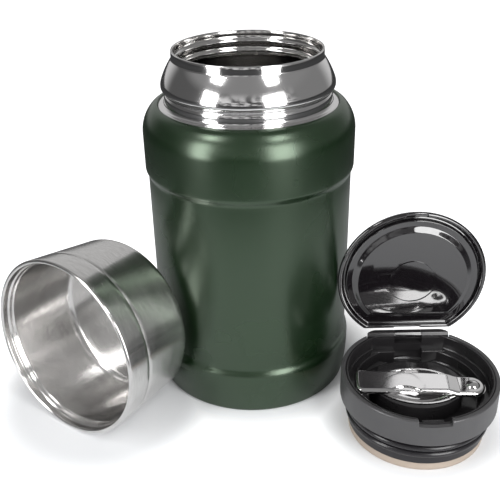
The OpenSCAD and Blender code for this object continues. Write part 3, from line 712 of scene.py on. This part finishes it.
def combine(bm, *steps):
    """Runs Booleans on a bmesh: each step is JOIN, CUT or KEEP with another bmesh."""
    base = tool(bm)
    for operation, other in steps:
        helper = tool(other)
        boolean = base.modifiers.new("boolean", "BOOLEAN")
        boolean.operation, boolean.solver, boolean.object = operation, "EXACT", helper
        done = bpy.data.meshes.new_from_object(
            base.evaluated_get(bpy.context.evaluated_depsgraph_get()))
        base.modifiers.clear()
        base.data = done
        bpy.data.objects.remove(helper)
    result = bmesh.new()
    result.from_mesh(base.data)
    bpy.data.objects.remove(base)
    bmesh.ops.remove_doubles(result, verts=result.verts, dist=2 * SAME_PLACE)
    return result


def flats_kept(piece):
    """Weighs the normals by area, so that flats beside a small round stay flat."""
    piece.modifiers.new("flats", "WEIGHTED_NORMAL").keep_sharp = True


def rounded(piece, width, segments=3, angle=32):
    """Rounds a piece's hard edges."""
    bevel = piece.modifiers.new("round edges", "BEVEL")
    bevel.width, bevel.segments = width * MM, segments
    bevel.limit_method, bevel.angle_limit = "ANGLE", radians(angle)
    flats_kept(piece)


def crisp(piece, angle=38):
    """Keeps the hard edges of a cut piece hard."""
    piece.data.set_sharp_from_angle(angle=radians(angle))
    flats_kept(piece)


def at_stopper(bm):
    return placed(bm, shift(*STOPPER))


# %% [markdown]
# ## The stopper's body
# A satin moulding: a broad rim, a skirt that reaches over the jar's lip, and a barrel with two
# rounded ridges. The front of the rim has a notch for the thumb, and the back is open where the
# hinge ears stand. The barrel is glossier than the rim, and its darker colour is painted shade.

# %% Stopper body
RIM_R = 36.5
RIM_TOP = 31.3
RIM_FOOT = 18.2
SKIRT_R = 35.2
WEB_Z = 21.5
WEB = 1.2
ROOT_R = 32.2
RIDGE_H = 1.5
BARREL_R = 30.4
BARREL_FOOT = 4.2
SEAT_R = 34.4
NOTCH_W = 14.6
NOTCH_H = 2.6
NOTCH_IN = 8.5
EARS_W = 40.4
EAR_FRONT = 28.0
LEDGE = 24.0

body_outline = (
    [(BARREL_R, BARREL_FOOT), (ROOT_R - 0.3, BARREL_FOOT), (ROOT_R, BARREL_FOOT + 0.3)]
    + bead(ROOT_R, 9.9, RIDGE_H, RIDGE_H) + bead(ROOT_R, 13.3, RIDGE_H, RIDGE_H)
    + [(ROOT_R, WEB_Z), (SKIRT_R, WEB_Z), (SKIRT_R, RIM_FOOT + 0.2), (SKIRT_R + 0.2, RIM_FOOT)]
    + corner(RIM_R, RIM_FOOT, 0.5, -90, 0, 5) + corner(RIM_R, RIM_TOP, 0.8, 0, 90, 7)
    + [(SEAT_R + 0.3, RIM_TOP), (SEAT_R, RIM_TOP - 0.3), (SEAT_R, WEB_Z + WEB),
       (BARREL_R, WEB_Z + WEB)])


def notch_cut():
    """The thumb notch, cut through the front of the rim and the tray's wall."""
    return box_bm((-NOTCH_W / 2, -RIM_R - 8, RIM_TOP - NOTCH_H),
                  (NOTCH_W / 2, -RIM_R + NOTCH_IN, RIM_TOP + 8), 0.5)


ring_bm = turned(finely(without_doubles(body_outline) + body_outline[:1], 3)[:-1])
ear_room = box_bm((-EARS_W / 2 - 0.5, EAR_FRONT - 0.1, LEDGE - 1.3),
                  (EARS_W / 2 + 0.5, RIM_R + 4, RIM_TOP + 4))
stopper = new_piece("stopper_moulding",
                    at_stopper(combine(ring_bm, (CUT, notch_cut()), (CUT, ear_room))),
                    [satin_black, glossy_barrel_with_painted_shade], "stopper", "stopper_body")
# Faces below the rim's foot take the glossier barrel finish, whose darker colour is painted shade
# under the overhanging rim.
for face in stopper.data.polygons:
    face.material_index = 1 if face.center.z < (RIM_FOOT - 0.1) * MM else 0
rounded(stopper, 0.3)

# %% [markdown]
# ## The spoon's place
# The tray's bed has the form of the spoon's bowl, so the spoon's sizes come first, in its own
# frame: the rivet at the origin, the bowl's rim at height 0, and the handle over the bowl at -X.

# %% The spoon's levels and its place
BOWL_L = 40.6
BOWL_W = 26.4
BOWL_DEPTH = 8.6
BOWL_GAP = 4.5
SPOON_TURN = radians(-4.3)
SHEET = 0.8
HEAD_Z = 1.3
HEAD_RISE = 1.5
TAIL_H = 0.8
TAB_Z = 0.4
PANEL_Z = 1.8
EDGE_H = 2.1

spoon_z = RIVET.z - (HEAD_Z + HEAD_RISE - SHEET - TAIL_H) / 2
spoon_place = shift(RIVET.x, RIVET.y, spoon_z) @ Matrix.Rotation(SPOON_TURN, 4, "Z")
print("spoon rim at", round(spoon_z, 2), "mm")

# %% The form of the spoon's bowl
bowl_side = ((BOWL_W / 2) ** 2 + BOWL_DEPTH ** 2) / (2 * BOWL_DEPTH)
bowl_keel = ((BOWL_L / 2) ** 2 + BOWL_DEPTH ** 2) / (2 * BOWL_DEPTH)
bowl_up = bowl_side - BOWL_DEPTH
bowl_x = -(BOWL_L / 2 + BOWL_GAP)
print("bowl radii", round(bowl_side, 2), round(bowl_keel, 2), "mm")


def bowl_form(inset):
    """An arc turned about an axis along the spoon, set in by inset, as a closed solid."""
    reach = degrees(acos((bowl_up * 0.8 - bowl_side + bowl_keel) / bowl_keel))
    keel = arc(bowl_side - bowl_keel, 0, bowl_keel - inset, -reach, reach, 48)
    return placed(turned([(0, keel[0][1])] + keel + [(0, keel[-1][1])], 96),
                  Matrix.Translation((bowl_x * MM, 0, bowl_up * MM))
                  @ Matrix.Rotation(pi / 2, 4, "Y"))


# %% [markdown]
# ## The tray
# A glossy insert in the stopper. Its wall and floor are turned; the hinge ears, the raised bed for
# the spoon's bowl, the rest for the handle and the shelf behind the notch are joined to it, and the
# bowl's own shape is cut out of the bed.

# %% The tray's wall and floor
TRAY_R = 34.3
TRAY_IN = 33.1
PAN_R = 30.2
PAN_IN = 29.0
TRAY_WALL = 1.2
TRAY_FLOOR = 17.6
TRAY_TOP = RIM_TOP - 0.3

tray_outline = (
    [(0, TRAY_FLOOR - TRAY_WALL)] + corner(PAN_R, TRAY_FLOOR - TRAY_WALL, 3, -90, 0, 8)
    + [(PAN_R, LEDGE - TRAY_WALL), (TRAY_R, LEDGE - TRAY_WALL)]
    + corner(TRAY_R, TRAY_TOP, 0.4, 0, 90, 4) + corner(TRAY_IN, TRAY_TOP, 0.4, 90, 180, 4)
    + corner(TRAY_IN, LEDGE, 0.8, 0, -90, 5) + corner(PAN_IN, LEDGE, 0.6, 90, 180, 5)
    + corner(PAN_IN, TRAY_FLOOR, 2, 0, -90, 8) + [(0, TRAY_FLOOR)])
pan_bm = turned(finely(without_doubles(tray_outline), 3))
print("tray section", len(tray_outline), "points")

# %% The hinge ears
KNUCKLE_W = 13.0
BARREL = 2.4
PIN_HOLE = 1.03
EAR_FOOT = 25.4
EAR_FOOT_W = 11.6
ear_in = KNUCKLE_W / 2 + 0.3
house_back = HINGE.y + BARREL + 0.4
web_top = HINGE.z - BARREL - 0.5


def within(bm, radius, low=0, high=60):
    return combine(bm, (KEEP, cylinder_bm(radius, low, high)))


def ear_bms(side):
    """The foot, the upright and the barrel of one hinge ear; side is 1 or -1."""
    foot = sorted((side * ear_in, side * (ear_in + EAR_FOOT_W)))
    upright = sorted((side * ear_in, side * EARS_W / 2))
    return [box_bm((foot[0], EAR_FOOT, TRAY_FLOOR - 0.5), (foot[1], PAN_IN + 0.7, LEDGE + 0.15), 0.3),
            box_bm((upright[0], EAR_FRONT, LEDGE - 0.7), (upright[1], house_back, HINGE.z)),
            rod_bm(BARREL, EARS_W / 2 - ear_in - 0.06,
                   (side * (ear_in + EARS_W / 2) / 2, HINGE.y, HINGE.z))]


ears = [(JOIN, within(part, RIM_R - 0.1, TRAY_FLOOR - 1, RIM_TOP + BARREL + 1))
        for side in (1, -1) for part in ear_bms(side)]
web = box_bm((-ear_in - 0.5, EAR_FRONT + 0.05, LEDGE - 0.8),
             (ear_in + 0.5, house_back - 0.05, web_top + 0.4))
knuckle_room = box_bm((-ear_in, EAR_FRONT - 1, web_top), (ear_in, RIM_R + 2, RIM_TOP + 6))
pin_bore = rod_bm(PIN_HOLE, EARS_W - 3.7, HINGE, 50)
print("ear parts:", len(ears))

# %% The bed for the bowl and the rest for the handle
CRADLE_L, CRADLE_W, CRADLE_H = 44.0, 36.0, 8.5
DIP_R, DIP_DEPTH = 9, 1.6
BED_GAP = 0.5
REST_GAP = 0.3


def lens_bm(length, width, low, high, at):
    """A pointed oval between two heights: where two large circles overlap."""
    radius = (length ** 2 + width ** 2) / (4 * width)
    halves = [cylinder_bm(radius, low, high, 256, y=side * (radius - width / 2))
              for side in (1, -1)]
    return placed(combine(halves[0], (KEEP, halves[1])), shift(*at))


cradle = lens_bm(CRADLE_L, CRADLE_W, TRAY_FLOOR - 0.3, TRAY_FLOOR + CRADLE_H, (-1.0, -2.3, 0))
dip = placed(rod_bm(DIP_R, PAN_R, (0, 0, 0), 96),
             shift(1.5, PAN_R / 2, TRAY_FLOOR + CRADLE_H + DIP_R - DIP_DEPTH)
             @ Matrix.Rotation(pi / 2, 4, "Z"))
bed = placed(bowl_form(-BED_GAP), spoon_place)
neck_slot = placed(box_bm((-10, -7.4, -SHEET - 0.3), (-1.2, 7.4, 6)), spoon_place)
rest_z = spoon_z + PANEL_Z + SHEET - EDGE_H - REST_GAP
rest = box_bm((-TRAY_R, -11, LEDGE - 0.3), (-25, 7, rest_z), 0.3)
shelf = box_bm((-4.8, -TRAY_R, LEDGE - 0.3), (4.8, -TRAY_IN + 3.4, RIM_TOP - 3.8), 0.3)
print("handle's rest at", round(rest_z, 2), "mm")

# %% The tray put together
tray_bm = combine(pan_bm, *ears, (JOIN, within(web, RIM_R - 0.15)),
                  (JOIN, within(rest, TRAY_IN + 0.1)), (JOIN, within(shelf, TRAY_IN + 0.1)),
                  (JOIN, combine(cradle, (CUT, dip))), (CUT, bed), (CUT, neck_slot),
                  (CUT, notch_cut()), (CUT, knuckle_room), (CUT, pin_bore))
tray = new_piece("spoon_tray_moulding", at_stopper(tray_bm), [tray_black], "stopper",
                 "spoon_tray")
crisp(tray)

# %% [markdown]
# ## The flip lid
# The lid is a round cap with a straight side at the hinge. Its section is a list of levels, each
# a D-shaped ring with its own radius, straight side and height: over the top, round the rim, down
# into the channel, up the flat ring and down the slope to the plateau. The rings are bridged one
# after the other, the two ends are filled flat, and the lid is swung open about the hinge.
# Two rings at one height can be bridged the wrong way round, so the flats lean by 0.02 to 0.03 mm.

# %% The lid's sizes and its rings
LID_R = 35.8
LID_H = 4.7
LID_ROUND = 4.2
LID_CHORD = HINGE.y - BARREL - 0.5
LID_FOOT = RIM_TOP + 0.3
BACK_ROUND = 1.0
RIM_BEAD = 1.1
CHANNEL_R, CHANNEL_CHORD = LID_R - 2.4, 22.2
CHANNEL_FLOOR = LID_FOOT + 2.5
CHANNEL_ROUND = 0.85
RING_R, RING_CHORD = 31.7, 21.4
SLOPE_R, SLOPE_CHORD = 28.7, 20.2
PLATEAU_R, PLATEAU_CHORD, PLATEAU_Z = 26.3, 18.4, LID_FOOT - 1.5


def d_ring(bm, bend, radius, chord, height):
    """The edges of a ring that is round in front and straight at y = chord, with round corners."""
    middle_x = sqrt((radius - bend) ** 2 - (chord - bend) ** 2)
    turn = degrees(atan2(chord - bend, middle_x))
    plan = (arc(0, 0, radius, 180 - turn, 360 + turn, 168)
            + arc(middle_x, chord - bend, bend, turn, 90, 6)[1:]
            + [(middle_x - 2 * middle_x * i / 12, chord) for i in range(1, 12)]
            + arc(-middle_x, chord - bend, bend, 90, 180 - turn, 6)[:-1])
    verts = [bm.verts.new((x * MM, y * MM, height * MM)) for x, y in plan]
    return [bm.edges.new(pair) for pair in zip(verts, verts[1:] + verts[:1])]


# %% The lid's levels: the corner of each run, and its radii, straight sides and heights
def back_in(z):
    """How far the straight side has come in over the top."""
    left = max(z - (LID_FOOT + LID_H - BACK_ROUND), 0)
    return BACK_ROUND - sqrt(max(BACK_ROUND ** 2 - left ** 2, 0))


bead_z = LID_FOOT + RIM_BEAD
lid_runs = [
    (1.5, [(x, LID_CHORD - back_in(z), z)
           for x, z in corner(LID_R, LID_FOOT + LID_H, LID_ROUND, 90, 0, 12)]),
    (1.5, [(LID_R - RIM_BEAD + x, LID_CHORD - 0.9 + x * 0.9 / RIM_BEAD, bead_z + z)
           for x, z in arc(0, 0, RIM_BEAD, 0, -90, 8)[1:]]),
    (1.3, [(LID_R - 1.3 + x, LID_CHORD - 1.0 + x * 0.8 / RIM_BEAD, bead_z + z)
           for x, z in arc(0, 0, RIM_BEAD, -90, -180, 8)]),
    (1.2, [(x, LID_CHORD - 1.8 + (x - CHANNEL_R), z)
           for x, z in corner(CHANNEL_R, CHANNEL_FLOOR, CHANNEL_ROUND, 0, 90, 6)]),
    (1.2, [(x - 0.01, CHANNEL_CHORD + (x - RING_R - CHANNEL_ROUND), z)
           for x, z in corner(RING_R, CHANNEL_FLOOR - 0.03, CHANNEL_ROUND, 90, 180, 6)]),
    (1.0, [(x, x - RING_R + RING_CHORD, z) for x, z in corner(RING_R, LID_FOOT, 0.3, 0, -90, 5)]),
    (0.9, [(SLOPE_R + 0.35, SLOPE_CHORD + 0.3, LID_FOOT - 0.02),
           (SLOPE_R + 0.12, SLOPE_CHORD + 0.1, LID_FOOT - 0.04),
           (SLOPE_R - 0.12, SLOPE_CHORD - 0.09, LID_FOOT - 0.1)]
     + [(SLOPE_R + (PLATEAU_R - SLOPE_R) * part, SLOPE_CHORD + (PLATEAU_CHORD - SLOPE_CHORD) * part,
         LID_FOOT + (PLATEAU_Z - LID_FOOT) * part) for part in (0.2, 0.4, 0.6, 0.8, 0.93)]
     + [(PLATEAU_R - 0.05, PLATEAU_CHORD - 0.05, PLATEAU_Z + 0.02),
        (PLATEAU_R - 0.3, PLATEAU_CHORD - 0.3, PLATEAU_Z)])]
print("lid levels:", sum(len(levels) for _, levels in lid_runs))

# %% The lid's plate, bridged from ring to ring
plate_bm = bmesh.new()
rings = [d_ring(plate_bm, bend, *level) for bend, levels in lid_runs for level in levels]
for one, other in zip(rings, rings[1:]):
    bmesh.ops.bridge_loops(plate_bm, edges=one + other)
for end in (rings[0], rings[-1]):
    bmesh.ops.edgeloop_fill(plate_bm, edges=end)
bmesh.ops.recalc_face_normals(plate_bm, faces=plate_bm.faces)
print("plate volume", round(plate_bm.calc_volume() / MM ** 3), "cubic mm")

# %% The lid's boss, latch and hinge barrel
BOSS_R, BOSS_W, BOSS_H = 11.9, 1.4, 0.6
LATCH_W, LATCH_IN = 10.2, 4.4
LID_PIN_HOLE = 1.06

boss_outline = ([(BOSS_R, PLATEAU_Z + 0.5)]
                + [(BOSS_R - BOSS_W / 2 + x * BOSS_W / 2, PLATEAU_Z + z * BOSS_H)
                   for x, z in arc(0, 0, 1, 0, -180, 16)]
                + [(BOSS_R - BOSS_W, PLATEAU_Z + 0.5)])
latch = combine(cylinder_bm(LID_R - 0.5, LID_FOOT - 2.2, LID_FOOT + 1.2),
                (CUT, cylinder_bm(LID_R - 2.1, LID_FOOT - 4, LID_FOOT + 3)),
                (KEEP, box_bm((-LATCH_W / 2, -LID_R, LID_FOOT - 3),
                              (LATCH_W / 2, -LID_R + LATCH_IN, LID_FOOT + 2))))
arm = box_bm((-KNUCKLE_W / 2, LID_CHORD - 1.5, HINGE.z + 0.9),
             (KNUCKLE_W / 2, HINGE.y + 0.4, HINGE.z + BARREL))
lid_bm = combine(plate_bm, (JOIN, turned(boss_outline)), (JOIN, latch), (JOIN, arm),
                 (JOIN, rod_bm(BARREL, KNUCKLE_W, HINGE)),
                 (CUT, rod_bm(LID_PIN_HOLE, KNUCKLE_W + 2, HINGE)))
placed(lid_bm, shift(*HINGE) @ Matrix.Rotation(radians(-LID_OPEN), 4, "X") @ shift(*-HINGE))
lid = new_piece("flip_lid_moulding", at_stopper(lid_bm), [gloss_black], "lid", "flip_lid")
rounded(lid, 0.2, angle=45)

# %% [markdown]
# ## The seal
# A silicone ring around the stopper's foot, with a lip that flares to press on the jar's ledge.

# %% Seal
SEAL_R = 32.0
SEAL_IN = 27

seal_outline = ([(SEAL_IN, 0)] + arc(SEAL_R - 1.0, 0.9, 0.9, -90, -30, 5)
                + [(SEAL_R, 1.6), (SEAL_R - 0.1, 2.2), (SEAL_R - 0.3, 3.6)]
                + corner(SEAL_R - 0.3, 4.1, 0.4, 0, 90, 4)
                + [(SEAL_R - 1.1, 4.1), (SEAL_R - 1.1, 2.5), (SEAL_IN, 2.5)])
new_piece("seal_moulding", at_stopper(turned(finely(seal_outline + seal_outline[:1])[:-1])),
          [silicone], "stopper", "seal_ring")

# %% [markdown]
# ## The spoon
# Bowl and handle are two pressings in thin polished steel that turn on one rivet. The bowl is the
# same form that was cut from its bed, hollowed by the sheet's thickness and cut off at the rim.

# %% Spoon bowl
TAB_W = 13.4
TAB_END = 5.8
NECK_END = -9
BOWL_HOLE, HANDLE_HOLE = 1.52, 1.56


def tab_plan(inset=0.0):
    """The blunt half-oval end of the spoon beyond the rivet."""
    return [((TAB_END - inset) * x, (TAB_W / 2 - inset) * y) for x, y in arc(0, 0, 1, -90, 90, 32)]


def slab(plan, low, high):
    """A flat plan in millimetres with a thickness."""
    bm = bmesh.new()
    face = bm.faces.new([bm.verts.new((x * MM, y * MM, low * MM)) for x, y in plan])
    risen = bmesh.ops.extrude_face_region(bm, geom=[face])["geom"]
    bmesh.ops.translate(bm, verts=[part for part in risen if isinstance(part, bmesh.types.BMVert)],
                        vec=(0, 0, (high - low) * MM))
    bmesh.ops.recalc_face_normals(bm, faces=bm.faces)
    return bm


below_rim = box_bm((bowl_x - 40, -40, -20), (bowl_x + 40, 40, 0))
neck_plate = slab(tab_plan() + [(NECK_END, TAB_W / 2), (NECK_END, -TAB_W / 2)], -SHEET, 0)
bowl_bm = combine(combine(bowl_form(0), (KEEP, below_rim)), (JOIN, neck_plate),
                  (CUT, bowl_form(SHEET)), (CUT, cylinder_bm(BOWL_HOLE, -5, 5, 48)))
bowl = new_piece("spoon_bowl_pressing", at_stopper(placed(bowl_bm, spoon_place)), [spoon_steel],
                 "spoon", "spoon_bowl")
rounded(bowl, 0.15, 2)

# %% [markdown]
# ## The spoon's handle
# A flat plan gets a thickness and a rounded top edge and is hollowed from below, which leaves
# turned sides that run out before the rivet. One side has a scoop for the thumb. The whole is then
# bent twice, so that its end lies down on the rivet.

# %% The handle's plate with its turned sides
HANDLE_L = 54.1
HANDLE_W = 16.2
EDGE_BEND = 1.8
CORNER = 3.4
FADE = (-14.1, -5.2)


def handle_plan(inset=0.0):
    """The handle seen from above: round at the rivet, rounded corners at the free end."""
    return (tab_plan(inset)
            + arc(-HANDLE_L + CORNER, HANDLE_W / 2 - CORNER, CORNER - inset, 90, 180, 12)
            + arc(-HANDLE_L + CORNER, -HANDLE_W / 2 + CORNER, CORNER - inset, 180, 270, 12))


channel = slab(handle_plan(), PANEL_Z + SHEET - EDGE_H, PANEL_Z + SHEET)
top_rim = [edge for edge in channel.edges
           if all(abs(vert.co.z - (PANEL_Z + SHEET) * MM) < SAME_PLACE for vert in edge.verts)]
bmesh.ops.bevel(channel, geom=top_rim, offset=EDGE_BEND * MM, segments=8, profile=0.5,
                affect="EDGES", material=-1)
hollow = slab(handle_plan(SHEET), PANEL_Z - 4, PANEL_Z)
fade_turn = atan2(EDGE_H - SHEET + 0.07, FADE[1] - FADE[0])
fade_out = placed(box_bm((0, -20, -12), (40, 20, 0)),
                  shift(FADE[0], 0, PANEL_Z + SHEET - EDGE_H - 0.05)
                  @ Matrix.Rotation(-fade_turn, 4, "Y"))
fade_out = combine(fade_out, (KEEP, box_bm((FADE[0] - 5, -15, -9), (FADE[1], 15, 9))))
beyond = box_bm((FADE[1] - 0.2, -20, -10), (20, 20, PANEL_Z + 0.02))
handle_bm = combine(channel, (CUT, hollow), (CUT, fade_out), (CUT, beyond))
print("handle plate", len(handle_bm.faces), "faces")

# %% The scoop for the thumb, and the rivet's hole
SCOOP_X, SCOOP_Y, SCOOP_R = -31.5, -13.6, 9.9
SCOOP_WALL = 0.4
SCOOP_EDGE = 1.4

scoop = combine(cylinder_bm(SCOOP_R, PANEL_Z - 3, PANEL_Z + 3, 128, SCOOP_X, SCOOP_Y),
                (KEEP, box_bm((-HANDLE_L, -HANDLE_W / 2 + SCOOP_EDGE, -20), (0, 20, 20))))
handle_bm = combine(handle_bm, (CUT, scoop))
scoop_floor = combine(
    cylinder_bm(SCOOP_R + SCOOP_WALL, PANEL_Z - 0.7, PANEL_Z + 0.1, 128, SCOOP_X, SCOOP_Y),
    (KEEP, slab(handle_plan(), PANEL_Z - 3, PANEL_Z + 3)))
handle_bm = combine(handle_bm, (JOIN, scoop_floor), (CUT, cylinder_bm(HANDLE_HOLE, -5, 5, 48)))
print("with its scoop", len(handle_bm.faces), "faces")

# %% The double bend
JOGGLE = (-12.1, -6.2)
BEND_CUTS = 14


def smooth_step(t):
    t = min(max(t, 0), 1)
    return t * t * (3 - 2 * t)


for i in range(BEND_CUTS + 1):
    x = JOGGLE[0] + (JOGGLE[1] - JOGGLE[0]) * i / BEND_CUTS
    everything = handle_bm.verts[:] + handle_bm.edges[:] + handle_bm.faces[:]
    bmesh.ops.bisect_plane(handle_bm, geom=everything, plane_co=(x * MM, 0, 0), plane_no=(1, 0, 0))
for vert in handle_bm.verts:
    along = (vert.co.x / MM - JOGGLE[0]) / (JOGGLE[1] - JOGGLE[0])
    vert.co.z -= (PANEL_Z - TAB_Z) * smooth_step(along) * MM
handle = new_piece("spoon_handle_pressing", at_stopper(placed(handle_bm, spoon_place)),
                   [spoon_steel], "handle", "spoon_handle")
rounded(handle, 0.12, 2)

# %% Rivet
RIVET_R = 3.25
SHANK_R = 1.5
TAIL_R = 2.4
tail_z = -SHEET - TAIL_H
dome_r = (RIVET_R ** 2 + HEAD_RISE ** 2) / (2 * HEAD_RISE)
rivet_outline = (
    [(0, tail_z), (TAIL_R - 0.3, tail_z), (TAIL_R, tail_z + 0.3), (TAIL_R, -SHEET),
     (SHANK_R, -SHEET), (SHANK_R, HEAD_Z)]
    + arc(0, HEAD_Z + HEAD_RISE - dome_r, dome_r, degrees(acos(RIVET_R / dome_r)), 90, 14))
new_piece("rivet_head", at_stopper(placed(turned(rivet_outline, 64), spoon_place)), [spoon_steel],
          "spoon", "spoon_rivet")

# %% [markdown]
# ## Finishes on the CAD pieces that stay
# These are inside the jar and the stopper, or under them. Their shapes are right as they are.

# %% Dress the CAD pieces
for finish, names in ((copper, ["copper_foil"]), (foam, ["stopper_foam"]),
                      (satin_black, ["stopper_base"]),
                      (cast_metal, ["getter", "outer_bottom", "vacuum_plug"]),
                      (spoon_steel, ["base_cap", "hinge_pin", "spoon_washer"])):
    for name in names:
        nodes[name].data.materials.clear()
        nodes[name].data.materials.append(finish)
    print(finish.name, "on", names)

# %% [markdown]
# ## The studio
# A white sheet that runs up behind, a soft box in front on each side with a small lamp above it,
# and a dim room with patches for the steel to mirror. The background is white as the camera sees
# it, and the lamps stay low enough that a colour renders about as it is written.

# %% Floor
FLOOR_SIZE = 6.0
CONTACT = (-0.005, 0.035)  # metres from a foot, over which the sheet turns white
HORIZON = (0.22, 0.31)  # metres from the jar, over which mirrors see the sheet darken


def mirror_rays(add, seen):
    """1 for the rays that a mirror or a clear piece sends on."""
    return maths(add, "MAXIMUM", seen["Is Glossy Ray"], seen["Is Transmission Ray"])


floor_paint = bpy.data.materials.new("white_sheet")
add = empty_tree(floor_paint)
place = add("TexCoord").outputs["Object"]
seen = add("LightPath").outputs

gap = None
for centre, radius in ((Vector((0, 0, 0)), BODY_R), (STOPPER, SEAL_R), (cup_foot, CUP_H)):
    span = add("VectorMath", {0: place, 1: (centre.x * MM, centre.y * MM, 0)},
               operation="DISTANCE").outputs["Value"]
    edge = maths(add, "SUBTRACT", span, radius * MM)
    gap = maths(add, "MINIMUM", gap, edge) if gap else edge
clear = mapped(add, gap, CONTACT, (0.03, 1.0), "SMOOTHSTEP")
white = times(add, seen["Is Camera Ray"], clear)
glow = add("Emission", {"Color": (1, 1, 1, 1), "Strength": white})

reach = add("VectorMath", {0: place}, operation="LENGTH").outputs["Value"]
near = mapped(add, reach, HORIZON, (1.0, 0.16), "SMOOTHSTEP")
fade = mixed(add, mirror_rays(add, seen), 1.0, near)
shade = add("VectorMath", {0: (0.82, 0.83, 0.845), "Scale": fade}, operation="SCALE")
lit = add("BsdfDiffuse", {"Color": shade.outputs[0]})
both = add("AddShader", {0: lit.outputs[0], 1: glow.outputs[0]})
add("OutputMaterial", {"Surface": both.outputs[0]})

bm = bmesh.new()
bmesh.ops.create_grid(bm, x_segments=1, y_segments=1, size=FLOOR_SIZE / 2)
floor = new_piece("floor", bm, [floor_paint])

# %% World
CEILING = 0.25
SHEET_BEHIND = 0.6
AMBIENT = 0.30

world = bpy.data.worlds.new("studio")
bpy.context.scene.world = world
add = empty_tree(world)
seen = add("LightPath").outputs
mirror_seen = mirror_rays(add, seen)
direction = add("TexCoord").outputs["Generated"]
way = add("SeparateXYZ", {0: direction}).outputs

patches = mapped(add, noise(add, direction, 7.0), (0.46, 0.56), (0.03, 0.75))
sides = mapped(add, way["X"], (-0.8, 0.8), (0.10, 0.22))
low_room = mixed(add, mapped(add, way["Y"], (-0.75, -0.35)), patches, sides)
room = mixed(add, mapped(add, way["Z"], (0.40, 0.55)), low_room, CEILING)
towards_sheet = mapped(add, way["Y"], (0.45, 0.85), curve="SMOOTHSTEP")
reflected = times(add, mirror_seen, mixed(add, towards_sheet, room, SHEET_BEHIND))

camera_seen = seen["Is Camera Ray"]
other = maths(add, "SUBTRACT", 1.0, maths(add, "MAXIMUM", camera_seen, mirror_seen))
strength = maths(add, "ADD", maths(add, "ADD", camera_seen, reflected), times(add, other, AMBIENT))
light = add("Background", {"Color": (1, 1, 1, 1), "Strength": strength})
add("OutputWorld", {"Surface": light.outputs[0]})
print("world nodes:", len(world.node_tree.nodes))

# %% Soft boxes
AIM = Vector((0, 0, 0.1))
DISTANCE = 0.55


def soft_box(name, azimuth, elevation, width, height, radiance):
    """A rectangular lamp about the jar; azimuth 0 is the camera's side, positive to the right."""
    lamp = bpy.data.lights.new(name, "AREA")
    lamp.shape = "RECTANGLE"
    lamp.size, lamp.size_y = width, height
    lamp.energy = radiance * pi * width * height
    turn, rise = radians(azimuth), radians(elevation)
    place = AIM + DISTANCE * Vector((sin(turn) * cos(rise), -cos(turn) * cos(rise), sin(rise)))
    holder = new_object(name, lamp)
    facing = (AIM - place).to_track_quat("-Z", "Y")
    holder.matrix_world = Matrix.Translation(place) @ facing.to_matrix().to_4x4()
    print(name, round(lamp.energy, 2), "W")


soft_box("box_left", -50, 11, 0.17, 0.42, 7.5)
soft_box("box_right", 33, 11, 0.25, 0.42, 7.0)
soft_box("top_left", -50, 49, 0.12, 0.10, 14.0)
soft_box("top_right", 38, 49, 0.12, 0.10, 14.0)
